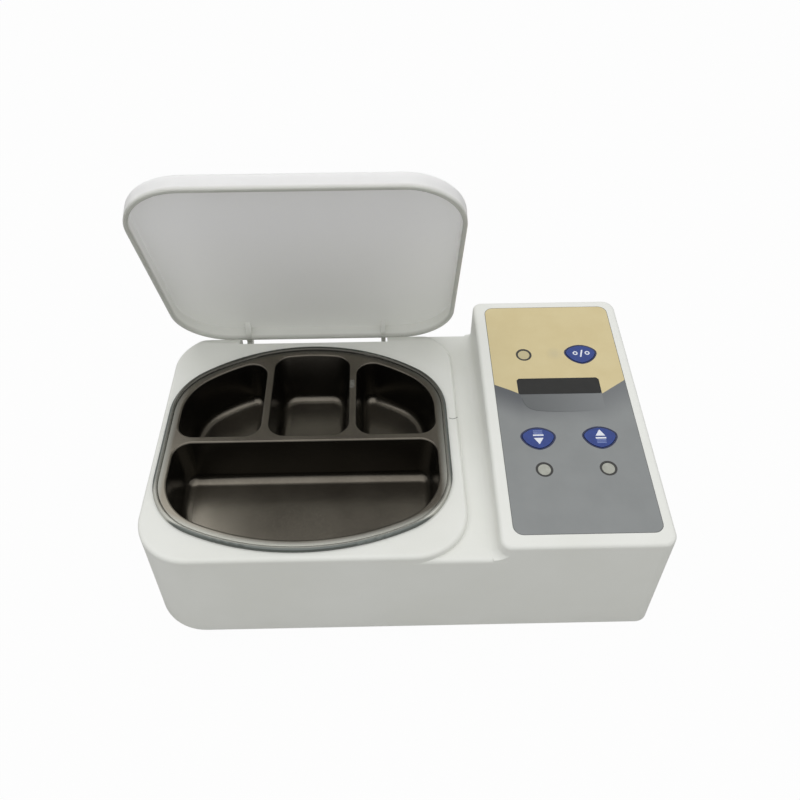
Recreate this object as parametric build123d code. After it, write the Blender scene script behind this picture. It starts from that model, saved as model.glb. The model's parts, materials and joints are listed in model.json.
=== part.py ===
"""Four-compartment wax heater for a dental laboratory, in millimetres.

X runs across the front, Y from front to back, Z up. The model is built with z = 0 at the lower
edge of the housing, and moved at the end so that the origin is under the middle of the whole part,
on the surface that the feet stand on. The lid is modelled closed and shown open.
"""

import os
from math import atan2, cos, hypot, radians, sin, sqrt, tan

from build123d import *

# Housing: one moulded shell with a rounded deck, a low shelf and a sloped control tower
housing_width = 240.0
housing_depth = 151.0
wall = 2.4
draft = 0.58
deck_height = 58.3
shelf_width = 10.7
deck_corner = 26.0
deck_step = 3.6
tower_width = 78.3
tower_corner = 5.5
right_corner = 7.0
tower_step = 5.6
panel_slope = 5.564
top_edge_fillet = 2.0
shelf_edge_fillet = 2.0
cove_radius = 4.0

# Base plate, feet and base screws
base_thickness = 2.4
base_gap = 0.3
foot_radius = 7.0
foot_height = 2.5
foot_peg_radius = 2.2
foot_inset_x = 26.0
foot_inset_y = 24.0
base_boss_radius = 4.0
base_boss_top = 15.0
vent_count = 9
vent_pitch = 7.0
vent_width = 2.6
vent_length = 52.0

# Screws: one pan-headed kind is used everywhere
screw_radius = 1.4
screw_head_radius = 2.7
screw_head_height = 1.6
screw_length = 8.0
thread_gap = 0.05
screw_clearance = 0.3

# Wax pan: a strip between two large arcs, with rounded shoulders
pan_side_margin = 3.9
pan_side_slack = 6.1
pan_back_margin = 14.0
pan_front_margin = 4.1
pan_back_bow = 31.6
pan_front_bow = 23.2
pan_back_corner = 35.0
pan_front_corner = 35.0
pan_depth = 27.1
pan_floor = 2.5
pan_body_inset = 3.2
pan_body_draft = 4.0
bead_width = 2.5
bead_height = 1.1
bead_fillet = 1.05
flange_thickness = 0.6
gasket_thickness = 0.4
gasket_inset = 0.5
opening_inset = 2.8

# Compartments of the pan, measured at their lips
well_inset = 6.2
well_draft = 6.5
well_corner = 8.5
well_floor_fillet = 4.8
well_lip_fillet = 1.1
middle_back_slope = 20.5
left_divider_reach = 21.3
right_divider_reach = 22.6
divider_width = 3.8
row_divider_share = 0.499
row_divider_width = 4.0

# Heater stack under the pan
heater_inset = 8.0
heater_thickness = 0.7
insulation_inset = 6.5
insulation_thickness = 3.5
clamp_thickness = 1.2
clamp_side_inset = 5.5
clamp_front_inset = 3.4
clamp_back_reach = 3.5
clamp_corner = 10.0
clamp_boss_inset = 5.0
clamp_boss_radius = 4.0
sensor_from_front = 46.4
sensor_radius = 2.2
sensor_length = 8.0
sensor_hole_radius = 4.0
cutout_from_back = 31.5
cutout_width = 15.0
cutout_depth = 8.0
cutout_height = 4.0
clip_thickness = 0.8
clip_foot = 5.0

# Lid: a shallow tray with two arms that carry it behind the deck
lid_overhang = 1.0
lid_front_margin = 1.3
lid_depth = 8.8
lid_wall = 2.2
lid_top_wall = 1.9
lid_corner = 30.0
lid_edge_fillet = 2.0
lid_rim_fillet = 0.6
lid_left_reach = 0.3
lid_back_margin = 11.5
lid_gap = 0.3
lid_open_angle = 67.7
rib_reach = 7.0
rib_foot = 0.8

# Lid hinge: arms, knuckles, pins and the pocket in the housing
hinge_from_back = 10.1
hinge_drop = 11.75
knuckle_radius = 3.6
pin_radius = 1.75
pin_boss_gap = 0.02
pin_arm_gap = 0.05
pin_boss_radius = 5.0
pin_boss_length = 4.0
pin_end = 0.6
pin_head_radius = 3.0
pin_head_height = 1.0
arm_back_reach = 4.9
arm_front_reach = 1.3
arm_back_foot = 5.5
arm_back_top = 14.5
arm_front_foot = 3.4
arm_root_lap = 1.0
arm_root_reach = 2.8
arm_root_drop = 1.2
arm_lap = 0.4
arm_left_place = 37.0
arm_left_width = 3.2
arm_right_place = 36.6
arm_right_width = 2.5
pocket_left_room = 2.0
pocket_right_room = 1.0
pocket_front_room = 4.4
pocket_drop = 5.05
pocket_wall = 2.0
notch_reach = 0.9
washer_radius = 3.4
washer_gap = 0.3
stop_reach = 6.9
stop_back_margin = 1.1
stop_gap = 0.3
roll_gap = 0.25

# Control panel: a film in a shallow recess, on the slope of the tower
film_left_margin = 6.7
film_right_margin = 5.7
film_front_margin = 6.6
film_back_margin = 5.5
film_corner = 4.5
film_thickness = 0.5
film_gap = 0.1
display_left_reach = 20.85
display_right_reach = 20.35
display_front = 9.5
display_back = 19.6
display_corner = 1.2
window_gap = 0.15
window_recess = 0.1
window_flange = 1.6
window_flange_thickness = 0.8
key_width = 14.5
key_height = 10.7
key_corner = 2.4
key_rise = 0.35
key_gap = 0.25
key_travel = 0.3
key_flange = 1.2
key_flange_thickness = 0.6
key_flange_gap = 0.3
key_stem_radius = 1.5
units_key_place = (14.25, 35.7)
down_key_place = (-14.85, -17.3)
up_key_place = (14.55, -17.4)
indicator_offsets = [(-15.15, 35.7), (-14.45, -35.2), (15.15, -35.1)]
indicator_radius = 2.95
indicator_flange_radius = 4.1
indicator_stem_radius = 2.0

# Boards and what they carry
board_thickness = 1.6
board_left_margin = 8.3
board_right_margin = 8.0
control_board_depth = 9.0
control_board_margin = 13.5
control_boss_radius = 3.0
control_boss_inset = 4.0
tact_size = 6.0
tact_height = 3.5
plunger_radius = 1.75
plunger_gap = 0.1
plunger_rise = 0.9
plunger_seat = 1.0
plunger_room = 0.2
module_width = 38.0
module_height = 18.0
module_gap = 0.2
led_size = 3.0
led_height = 0.8
power_board_front_margin = 20.5
power_board_back_margin = 30.5
power_board_bottom = 6.4
standoff_radius = 3.0
standoff_inset = 4.0
transformer_room = 22.0
transformer_depth = 34.0
transformer_height = 26.0
transformer_offset = (4.0, -33.0)
relay_size = (15.0, 19.0, 15.5)
relay_offset = (-10.0, -23.0)
capacitor_size = (18.0, 8.5, 14.5)
capacitor_offset = (-14.0, -59.0)
fuse_radius = 2.6
fuse_length = 20.0
fuse_offset = (14.0, -10.0)
fuse_clip_length = 5.0
fuse_clip_wall = 0.5
terminal_size = (10.0, 30.0, 12.0)
terminal_offset = (6.0, 27.0)
terminal_ways = 6
socket_size = (20.0, 6.0, 6.0)
ribbon_width = 16.0
ribbon_thickness = 0.9
ribbon_from_right = 20.0
ribbon_top_margin = 16.0
ribbon_bottom_margin = 6.0
ribbon_straight = 8.0
ribbon_slack = 9.0
ribbon_bend = 7.0
driver_offset = (3.0, 22.0)
driver_size = (10.0, 6.0, 1.8)
chip_offset = (3.0, 2.0)
chip_size = (12.0, 12.0, 1.6)
crystal_offset = (-17.0, -4.0)
crystal_size = (11.0, 4.5, 3.5)
buzzer_offset = (-11.0, -42.0)
buzzer_radius = 6.0
buzzer_height = 6.0
regulator_offset = (19.0, 44.0)
regulator_size = (6.5, 6.5, 2.3)

# Mains inlet and power switch in the back wall
inlet_from_right = 34.0
inlet_z = 22.0
inlet_flange_width = 50.0
inlet_flange_height = 22.0
inlet_flange_thickness = 2.0
inlet_screw_pitch = 40.0
inlet_body_width = 27.0
inlet_body_height = 19.6
inlet_cavity_width = 24.4
inlet_cavity_height = 16.6
inlet_cavity_depth = 17.5
inlet_end_wall = 2.0
inlet_corner = 4.0
inlet_fit = 0.2
inlet_pin = (4.0, 2.0)
inlet_pin_length = 12.0
inlet_pin_pitch = 7.0
inlet_pin_drop = 2.0
inlet_tail = 6.0
switch_from_right = 78.0
switch_z = 22.0
switch_flange_width = 15.4
switch_flange_height = 23.0
switch_flange_thickness = 1.6
switch_body_width = 12.8
switch_body_height = 19.6
switch_body_depth = 14.0
switch_mouth_width = 10.4
switch_mouth_height = 17.2
switch_mouth_depth = 8.0
rocker_half_height = 7.6
rocker_width = 9.8
rocker_pivot_depth = 2.6
rocker_pivot_radius = 1.0
rocker_pivot_gap = 0.05
rocker_end_reach = 5.2
rocker_middle_reach = 4.3
rocker_angle = 8.0
rocker_stub = 0.7
switch_tab_spacing = 5.0
switch_tab_width = 6.3
switch_tab_thickness = 0.8
switch_tab_length = 8.0

# Leads inside the housing
heater_tab_width = 12.0
heater_tab_reach = 4.0
heater_lead_size = 2.0
heater_lead_out = 12.0
heater_lead_in = 11.0
sensor_lead_size = 2.0
sensor_lead_drop = 10.0
sensor_lead_bends = [(13.0, -3.0, 10.0), (37.0, -8.0, 9.0)]
sensor_lead_in = 27.0
cutout_lead_out = 12.0
cutout_right_bends = [(40.0, -6.0, 12.0), (65.0, -22.0, 9.0)]
cutout_right_in = 15.0
cutout_left_bends = [(-15.5, -14.0, 13.0), (7.0, -22.0, 9.0), (39.0, -30.0, 9.0)]
cutout_left_in = 25.0
mains_lead_size = 1.8
mains_lead_out = 8.0
neutral_lead_out = 6.0
tab_lead_out = 7.0
live_bends = [(-13.0, -35.5, 18.0)]
switch_bends = [(11.0, -35.5, 17.0)]
board_bends = [(1.0, -33.5, 23.0), (10.0, -34.5, 17.0)]
neutral_bends = [(-2.0, -34.0, 14.5)]
earth_bends = [(-12.0, -34.5, 28.0), (-32.0, -33.5, 30.0)]
earth_lead_reach = 16.0
earth_lead_from_back = 31.5

# Worked out from the sizes above
half_width = housing_width / 2
half_depth = housing_depth / 2
deck_width = housing_width - tower_width - shelf_width
deck_right = -half_width + deck_width
tower_left = half_width - tower_width
tower_middle = (tower_left + half_width) / 2
shelf_height = deck_height - deck_step
tower_front_height = deck_height + tower_step
panel_height = tower_front_height + half_depth * tan(radians(panel_slope))
pan_half_width = (deck_width - pan_side_margin - pan_side_slack) / 2
pan_centre = -half_width + pan_side_margin + pan_half_width
pan_back_arc = (pan_half_width ** 2 + pan_back_bow ** 2) / (2 * pan_back_bow)
pan_front_arc = (pan_half_width ** 2 + pan_front_bow ** 2) / (2 * pan_front_bow)
pan_back = half_depth - pan_back_margin
pan_front = -half_depth + pan_front_margin
pan_bottom = deck_height - pan_depth
left_divider = pan_centre - left_divider_reach
right_divider = pan_centre + right_divider_reach
row_divider = pan_front + row_divider_share * (pan_back - pan_front)
clamp_left = pan_centre - pan_half_width + clamp_side_inset
clamp_right = pan_centre + pan_half_width - clamp_side_inset
clamp_front = pan_front + clamp_front_inset
clamp_back = pan_back + clamp_back_reach
sensor_x = pan_centre
sensor_y = pan_front + sensor_from_front
cutout_y = pan_back - cutout_from_back
lid_width = deck_width + lid_overhang
lid_centre = -half_width - lid_left_reach + lid_width / 2
lid_back = half_depth - lid_back_margin
lid_length = lid_back + half_depth - lid_front_margin
hinge_y = half_depth - hinge_from_back
hinge_z = deck_height - hinge_drop
arm_back = hinge_y + arm_back_reach
arm_front = hinge_y + arm_front_reach
arm_left_inner = lid_centre - arm_left_place
arm_left_outer = arm_left_inner - arm_left_width
arm_right_inner = lid_centre + arm_right_place
arm_right_outer = arm_right_inner + arm_right_width
pocket_left = arm_left_outer - pocket_left_room
pocket_right = arm_right_outer + pocket_right_room
pocket_front = hinge_y - pocket_front_room
pocket_floor = hinge_z - pocket_drop
notch_front = hinge_y + notch_reach
stop_front = hinge_y + stop_reach
stop_back = half_depth - stop_back_margin
film_left = tower_left + film_left_margin
film_right = half_width - film_right_margin
film_front = -half_depth + film_front_margin
film_back = half_depth - film_back_margin
display_left = tower_middle - display_left_reach
display_right = tower_middle + display_right_reach
units_key = (tower_middle + units_key_place[0], units_key_place[1])
down_key = (tower_middle + down_key_place[0], down_key_place[1])
up_key = (tower_middle + up_key_place[0], up_key_place[1])
indicator_places = [(tower_middle + x, v) for x, v in indicator_offsets]
board_left = tower_left + board_left_margin
board_right = half_width - board_right_margin
board_middle = (board_left + board_right) / 2
control_board_half_length = half_depth - control_board_margin
power_board_front = -half_depth + power_board_front_margin
power_board_back = half_depth - power_board_back_margin
transformer_width = board_right - board_left - transformer_room
transformer_place = (board_left + transformer_offset[0] + transformer_width / 2,
                     power_board_back + transformer_offset[1])
relay_place = (board_right + relay_offset[0], power_board_back + relay_offset[1])
capacitor_place = (board_right + capacitor_offset[0], power_board_back + capacitor_offset[1])
fuse_place = (board_left + fuse_offset[0], power_board_back + fuse_offset[1])
terminal_place = (board_left + terminal_offset[0], power_board_front + terminal_offset[1])
ribbon_x = board_right - ribbon_from_right
ribbon_top_v = -control_board_half_length + ribbon_top_margin
ribbon_bottom_y = power_board_front + ribbon_bottom_margin
inlet_x = half_width - inlet_from_right
switch_x = half_width - switch_from_right
heater_tab_end = clamp_right + heater_tab_reach
ledge_top = deck_height + gasket_thickness + flange_thickness
flange_bottom = deck_height + gasket_thickness
heater_bottom = pan_bottom - heater_thickness
insulation_bottom = heater_bottom - insulation_thickness
clamp_bottom = insulation_bottom - clamp_thickness
control_board_top = -control_board_depth
control_board_bottom = control_board_top - board_thickness
tact_top = control_board_top + tact_height
plunger_top = tact_top + plunger_rise
plunger_bottom = tact_top - plunger_seat
power_board_top = power_board_bottom + board_thickness
rim_plane = deck_height + lid_gap
lid_top = rim_plane + lid_depth
rim_sweep_radius = hypot(lid_back - hinge_y, rim_plane - hinge_z)

panel = Location(
    Plane(
        origin=(0, 0, panel_height),
        x_dir=(1, 0, 0),
        z_dir=(0, -sin(radians(panel_slope)), cos(radians(panel_slope))),
    )
)
back_wall = Location(
    Plane(
        origin=(0, half_depth, 0),
        x_dir=(-1, 0, 0),
        z_dir=(0, cos(radians(draft)), sin(radians(draft))),
    )
)


# Basic shapes

def block(x0, x1, y0, y1, z0, z1):
    """A box between two corners."""
    middle = Pos((x0 + x1) / 2, (y0 + y1) / 2, (z0 + z1) / 2)
    return middle * Box(x1 - x0, y1 - y0, z1 - z0)


def block_at(place, size, z0):
    """A box of a given size that stands at height z0 over a place."""
    return Pos(place[0], place[1], z0 + size[2] / 2) * Box(*size)


def disc(x, y, z0, z1, radius):
    """An upright cylinder."""
    return Pos(x, y, (z0 + z1) / 2) * Cylinder(radius, z1 - z0)


def rod(x0, x1, y, z, radius):
    """A cylinder along X."""
    return Pos((x0 + x1) / 2, y, z) * Rot(0, 90, 0) * Cylinder(radius, x1 - x0)


def slab(sketch, z0, z1):
    """A flat outline, made solid between two heights."""
    return Pos(0, 0, z0) * extrude(sketch, amount=z1 - z0)


def rounded(x0, x1, y0, y1, radius):
    """A rectangle between two corners, with equal corner radii."""
    return Pos((x0 + x1) / 2, (y0 + y1) / 2) * RectangleRounded(x1 - x0, y1 - y0, radius)


def footprint(x0, x1, half_y, left_radius, right_radius):
    """A rectangle about the X axis, with one corner radius at each end."""
    shape = Pos((x0 + x1) / 2, 0) * Rectangle(x1 - x0, 2 * half_y)
    shape = fillet(shape.vertices().sort_by(Axis.X)[:2], left_radius)
    return fillet(shape.vertices().sort_by(Axis.X)[-2:], right_radius)


def screw(x, y, head_top, length=screw_length):
    """A pan-headed screw that points up, its head under head_top."""
    shank = disc(x, y, head_top, head_top + length, screw_radius)
    head = disc(x, y, head_top - screw_head_height, head_top, screw_head_radius)
    return head + shank


def pilot(x, y, z0, depth):
    """The hole that a screw is driven into."""
    return disc(x, y, z0, z0 + depth, screw_radius + thread_gap)


def lead(points, diameter):
    """A round lead: straight runs joined by the largest arcs that the runs allow."""
    radii = []
    for before, corner, after in zip(points, points[1:], points[2:]):
        run_in = Vector(*corner) - Vector(*before)
        run_out = Vector(*after) - Vector(*corner)
        turn = radians(run_in.get_angle(run_out))
        radii.append(0.45 * min(run_in.length, run_out.length) / tan(turn / 2))
    print("lead arcs:", [round(radius, 1) for radius in radii])
    path = FilletPolyline(*points, radius=radii)
    section = Plane(path @ 0, z_dir=path % 0) * Circle(diameter / 2)
    return sweep(section, path=path)


# Upper housing

def housing_blocks(inset, roof):
    """The low body, the deck and the tower, drawn in at the sides and lowered at the top."""
    low = extrude(
        footprint(-half_width + inset, half_width - inset, half_depth - inset,
                  deck_corner - inset, right_corner - inset),
        amount=shelf_height - roof, taper=draft)
    deck = extrude(
        footprint(-half_width + inset, deck_right - inset, half_depth - inset,
                  deck_corner - inset, deck_corner - inset),
        amount=deck_height - roof, taper=draft)
    deck -= behind_roll(rim_sweep_radius - roll_gap - roof)
    tower = extrude(
        footprint(tower_left + inset, half_width - inset, half_depth - inset,
                  tower_corner - inset, right_corner - inset),
        amount=panel_height + half_depth, taper=draft)
    above_panel = panel * Pos(0, 0, housing_width / 2 - roof) * Box(
        2 * housing_width, 2 * housing_width, housing_width)
    return low, deck, tower - above_panel


def behind_roll(radius):
    """What the deck lacks at its back edge, which is rolled down about the hinge line."""
    length = 4 * half_width
    corner = block(-length / 2, length / 2, hinge_y, housing_depth, hinge_z, 2 * deck_height)
    return corner - rod(-length, length, hinge_y, hinge_z, radius)


def cove():
    """The rounded inside corner between the shelf and the tower, run out at the outer walls."""
    inside = 1.0
    wall_x = tower_left + shelf_height * tan(radians(draft))
    corner_x = wall_x + tower_corner
    corner_y = half_depth - tower_corner - shelf_height * tan(radians(draft))
    square = Pos(wall_x + (inside - cove_radius) / 2, shelf_height + (cove_radius - inside) / 2)
    square *= Rectangle(cove_radius + inside, cove_radius + inside)
    hollow = Pos(wall_x - cove_radius, shelf_height + cove_radius) * Circle(cove_radius)
    face = Plane.XZ * (square - hollow)
    straight = extrude(face, amount=corner_y, dir=(0, 1, 0), both=True)
    back_turn = revolve(Pos(0, corner_y, 0) * face,
                        Axis((corner_x, corner_y, 0), (0, 0, 1)), -90)
    front_turn = revolve(Pos(0, -corner_y, 0) * face,
                         Axis((corner_x, -corner_y, 0), (0, 0, 1)), 90)
    outer = extrude(
        footprint(-half_width, half_width, half_depth, deck_corner, right_corner),
        amount=shelf_height + cove_radius, taper=draft)
    return (straight + back_turn + front_turn) & outer


def top_rounded(shape, radius):
    """The shape with its top face's outer edge rounded."""
    return fillet(shape.faces().sort_by(Axis.Z)[-1].edges(), radius)


base_boss_places = [
    (-80, -half_depth + 5.5), (20, -half_depth + 5.5), (half_width - 6, -half_depth + 9.5),
    (-80, half_depth - 5.5), (20, half_depth - 5.5), (half_width - 6, half_depth - 9.5),
]
clamp_boss_places = [
    (clamp_left + clamp_boss_inset, clamp_front + clamp_boss_inset),
    (clamp_right - clamp_boss_inset, clamp_front + clamp_boss_inset),
    (clamp_left + clamp_boss_inset, clamp_back - clamp_boss_inset),
    (clamp_right - clamp_boss_inset, clamp_back - clamp_boss_inset),
]
control_boss_places = [
    (x, v)
    for x in (board_left + control_boss_inset, board_right - control_boss_inset)
    for v in (-control_board_half_length + control_boss_inset,
              control_board_half_length - control_boss_inset)
]
arm_spans = [(arm_left_outer, arm_left_inner), (arm_right_inner, arm_right_outer)]


def pan_end(inset, side, arc, corner, tip):
    """One end of the pan's outline: a large arc between two rounded corners that run into the sides."""
    across = pan_half_width - corner
    along = sqrt((arc - corner) ** 2 - across ** 2)
    arc_y = tip - side * arc
    corner_y = arc_y + side * along
    turn = atan2(along, across)
    radius = corner - inset
    edges = []
    for hand in (-1, 1):
        corner_x = pan_centre + hand * across
        start = (pan_centre + hand * (pan_half_width - inset), corner_y)
        middle = (corner_x + hand * radius * cos(turn / 2), corner_y + side * radius * sin(turn / 2))
        finish = (corner_x + hand * radius * cos(turn), corner_y + side * radius * sin(turn))
        edges.append(ThreePointArc(start, middle, finish))
    left, right = edges
    large = ThreePointArc(left @ 1, (pan_centre, tip - side * inset), right @ 1)
    return left + large + right, left @ 0, right @ 0


def pan_outline(inset):
    """The pan's outline, drawn in by inset."""
    back, back_left, back_right = pan_end(inset, 1, pan_back_arc, pan_back_corner, pan_back)
    front, front_left, front_right = pan_end(inset, -1, pan_front_arc, pan_front_corner, pan_front)
    return make_face(back + front + Line(back_left, front_left) + Line(back_right, front_right))


def key_outline(grow):
    """A key's outline: an arched top over two curved sides that meet in a rounded apex."""
    half = key_width / 2 + 0.5
    top = key_height / 2
    arch = ThreePointArc((-half, 0.25 * top), (0, top), (half, 0.25 * top))
    right = ThreePointArc((half, 0.25 * top), (0.68 * half, -0.62 * top), (0, -1.12 * top))
    left = ThreePointArc((0, -1.12 * top), (-0.68 * half, -0.62 * top), (-half, 0.25 * top))
    face = make_face(arch + right + left)
    face = fillet(face.vertices(), key_corner)
    return offset(face, amount=grow) if grow else face


def hinge_pocket():
    """The walls of the pocket that the lid's arms swing in."""
    outside = block(pocket_left - pocket_wall, pocket_right + pocket_wall,
                    pocket_front - pocket_wall, half_depth, pocket_floor - pocket_wall,
                    deck_height)
    for x0, x1 in [(pocket_left - pin_boss_length, pocket_left),
                   (pocket_right, pocket_right + pin_boss_length)]:
        outside += rod(x0, x1, hinge_y, hinge_z, pin_boss_radius)
    low, deck, _ = housing_blocks(wall / 2, wall / 2)
    return outside & (low + deck)


def upper_housing():
    low, deck, tower = housing_blocks(0, 0)
    shell = top_rounded(low, shelf_edge_fillet) + top_rounded(deck, top_edge_fillet)
    shell -= behind_roll(rim_sweep_radius - roll_gap) & block(
        -half_width, deck_right, hinge_y, housing_depth, shelf_height, 2 * deck_height)
    shell += top_rounded(tower, top_edge_fillet)
    shell += cove()
    for inner in housing_blocks(wall, wall):
        shell -= inner

    shell += hinge_pocket()
    shell -= block(pocket_left, pocket_right, pocket_front, housing_depth,
                   pocket_floor, deck_height - wall)
    shell -= block(pocket_left, pocket_right, notch_front, housing_depth,
                   pocket_floor, deck_height + wall)
    stop_top = stop_height()
    for x0, x1 in arm_spans:
        shell += block(x0, x1, stop_front, stop_back, pocket_floor - pocket_wall / 2, stop_top)
    shell -= rod(pocket_left - 2 * pin_boss_length, pocket_right + 2 * pin_boss_length,
                 hinge_y, hinge_z, pin_radius + pin_boss_gap)

    shell -= slab(pan_outline(opening_inset), shelf_height - wall, deck_height + wall)
    boss_bottom = insulation_bottom
    for x, y in clamp_boss_places:
        boss = disc(x, y, boss_bottom, deck_height - wall / 2, clamp_boss_radius)
        shell += boss - pilot(x, y, boss_bottom, screw_length)
    low_cavity = housing_blocks(wall / 2, wall / 2)[0]
    for x, y in base_boss_places:
        boss = disc(x, y, base_thickness, base_boss_top, base_boss_radius)
        shell += (boss & low_cavity) - pilot(x, y, base_thickness, screw_length)

    recess = rounded(film_left - film_gap, film_right + film_gap,
                     film_front - film_gap, film_back + film_gap, film_corner + film_gap)
    shell -= panel * slab(recess, -film_thickness, wall)
    for x, v in control_boss_places:
        boss = disc(x, v, control_board_top, -wall / 2, control_boss_radius)
        shell += panel * boss
        shell -= panel * pilot(x, v, control_board_top, control_board_depth - wall)
    shell -= panel_openings()
    shell -= back_wall_openings()
    return shell


def panel_openings():
    """The holes through film and roof for the window, the keys and the indicators."""
    window = rounded(display_left, display_right, display_front, display_back, display_corner)
    holes = slab(window, -2 * wall, wall)
    for x, v in (units_key, down_key, up_key):
        holes += Pos(x, v, 0) * slab(key_outline(key_gap), -2 * wall, wall)
    for x, v in indicator_places:
        holes += disc(x, v, -2 * wall, wall, indicator_radius + window_gap)
    return panel * holes


def back_wall_openings():
    """The holes for the mains inlet, its screws and the power switch."""
    inlet = Pos(-inlet_x, inlet_z, 0) * RectangleRounded(
        inlet_body_width + 2 * inlet_fit, inlet_body_height + 2 * inlet_fit, inlet_corner)
    holes = slab(inlet, -3 * wall, wall)
    for side in (-1, 1):
        x = -inlet_x + side * inlet_screw_pitch / 2
        holes += disc(x, inlet_z, -3 * wall, wall, screw_radius + thread_gap)
    switch = Pos(-switch_x, switch_z, 0) * Rectangle(
        switch_body_width + 2 * inlet_fit, switch_body_height + 2 * inlet_fit)
    return back_wall * (holes + slab(switch, -3 * wall, wall))


# Base plate and feet

foot_places = {
    "foot_front_left": (-half_width + foot_inset_x, -half_depth + foot_inset_y),
    "foot_front_right": (half_width - foot_inset_x, -half_depth + foot_inset_y),
    "foot_back_left": (-half_width + foot_inset_x, half_depth - foot_inset_y),
    "foot_back_right": (half_width - foot_inset_x, half_depth - foot_inset_y),
}
standoff_places = [
    (x, y)
    for x in (board_left + standoff_inset, board_right - standoff_inset)
    for y in (power_board_front + standoff_inset, power_board_back - standoff_inset)
]


def base_plate():
    edge = wall + base_gap
    plate = slab(
        footprint(-half_width + edge, half_width - edge, half_depth - edge,
                  deck_corner - edge, right_corner - edge),
        0, base_thickness)
    for x, y in foot_places.values():
        plate -= disc(x, y, 0, base_thickness, foot_peg_radius + thread_gap)
    for x, y in base_boss_places:
        plate -= disc(x, y, 0, base_thickness, screw_radius + screw_clearance)
    for x, y in standoff_places:
        standoff = disc(x, y, base_thickness / 2, power_board_bottom, standoff_radius)
        plate += standoff
        plate -= pilot(x, y, base_thickness / 2, power_board_bottom)
    for index in range(vent_count):
        x = pan_centre + (index - (vent_count - 1) / 2) * vent_pitch
        slot = Pos(x, 0) * SlotOverall(vent_length, vent_width, rotation=90)
        plate -= slab(slot, 0, base_thickness)
    return plate


def foot(x, y):
    pad = disc(x, y, -foot_height, 0, foot_radius)
    pad = fillet(pad.edges().sort_by(Axis.Z)[:1], 0.8)
    return pad + disc(x, y, 0, base_thickness, foot_peg_radius)


# Lid and hinge

def arm_outline():
    """The side view of one arm: knuckle, swan neck, and its root behind the lid's skirt."""
    root_top = lid_top - arm_root_drop
    root_bottom = rim_plane + arm_lap
    neck = Polyline(
        (hinge_y - arm_lap, hinge_z),
        (hinge_y + knuckle_radius, hinge_z),
        (arm_back, hinge_z + arm_back_foot),
        (arm_back, hinge_z + arm_back_top),
        (lid_back + arm_root_reach, root_top),
        (lid_back - arm_root_lap, root_top),
        (lid_back - arm_root_lap, root_bottom),
        (arm_front, root_bottom),
        (arm_front, hinge_z + arm_front_foot),
        (hinge_y - arm_lap, hinge_z))
    return make_face(neck) + Pos(hinge_y, hinge_z) * Circle(knuckle_radius)


def rib_outline():
    """The side view of the web that ties an arm to the inside of the lid."""
    ceiling = lid_top - lid_top_wall + arm_lap
    inner_wall = lid_back - lid_wall + arm_lap
    return make_face(Polyline(
        (inner_wall, ceiling),
        (inner_wall - rib_reach, ceiling),
        (inner_wall, rim_plane + rib_foot),
        (inner_wall, ceiling)))


def arm_plate(outline, x0, x1):
    """An arm outline, drawn in Y and Z, made solid between two places across the lid."""
    side = Plane(origin=(x0, 0, 0), x_dir=(0, 1, 0), z_dir=(1, 0, 0))
    return extrude(side * outline, amount=x1 - x0)


def open_lid(shape):
    """The closed lid's shape, swung up to its stop."""
    axis_place = Pos(0, hinge_y, hinge_z)
    return axis_place * Rot(-lid_open_angle, 0, 0) * axis_place.inverse() * shape


def stop_height():
    """How high the stop blocks reach: just under the arms' lowest back corner at full opening."""
    y = arm_back - hinge_y
    z = arm_back_foot
    angle = radians(-lid_open_angle)
    return hinge_z + y * sin(angle) + z * cos(angle) - stop_gap


def lid():
    left = lid_centre - lid_width / 2
    right = lid_centre + lid_width / 2
    front = lid_back - lid_length
    tray = slab(rounded(left, right, front, lid_back, lid_corner), rim_plane, lid_top)
    tray = fillet(tray.faces().sort_by(Axis.Z)[-1].edges(), lid_edge_fillet)
    hollow = slab(
        rounded(left + lid_wall, right - lid_wall, front + lid_wall, lid_back - lid_wall,
                lid_corner - lid_wall),
        rim_plane, lid_top - lid_top_wall)
    tray -= hollow
    tray = fillet(tray.faces().sort_by(Axis.Z)[0].edges(), lid_rim_fillet)
    for x0, x1 in arm_spans:
        tray += arm_plate(arm_outline(), x0, x1)
        tray += arm_plate(rib_outline(), x0, x1)
    tray -= rod(left, right, hinge_y, hinge_z, pin_radius + pin_arm_gap)
    return open_lid(tray)


def hinge_pins():
    left_outer = pocket_left - pin_boss_length
    right_outer = pocket_right + pin_boss_length
    left = rod(left_outer, arm_left_inner + pin_end, hinge_y, hinge_z, pin_radius)
    left += rod(left_outer - pin_head_height, left_outer, hinge_y, hinge_z, pin_head_radius)
    right = rod(arm_right_inner - pin_end, right_outer, hinge_y, hinge_z, pin_radius)
    right += rod(right_outer, right_outer + pin_head_height, hinge_y, hinge_z, pin_head_radius)
    return left, right


def friction_washers():
    hole = rod(pocket_left, pocket_right, hinge_y, hinge_z, pin_radius + pin_arm_gap)
    left = rod(pocket_left, arm_left_outer - washer_gap, hinge_y, hinge_z, washer_radius)
    right = rod(arm_right_outer + washer_gap, pocket_right, hinge_y, hinge_z, washer_radius)
    return left - hole, right - hole


# Wax pan and heater stack

def well_outline(x0, x1, y0, y1):
    """One compartment's lip: part of the pan's outline, cut off by the dividers."""
    cut = Pos((x0 + x1) / 2, (y0 + y1) / 2) * Rectangle(x1 - x0, y1 - y0)
    shape = pan_outline(well_inset) & cut
    corners = [
        corner for corner in shape.vertices()
        if min(abs(corner.X - x0), abs(corner.X - x1), abs(corner.Y - y0), abs(corner.Y - y1)) < 0.01
    ]
    return fillet(corners, well_corner)


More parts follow.
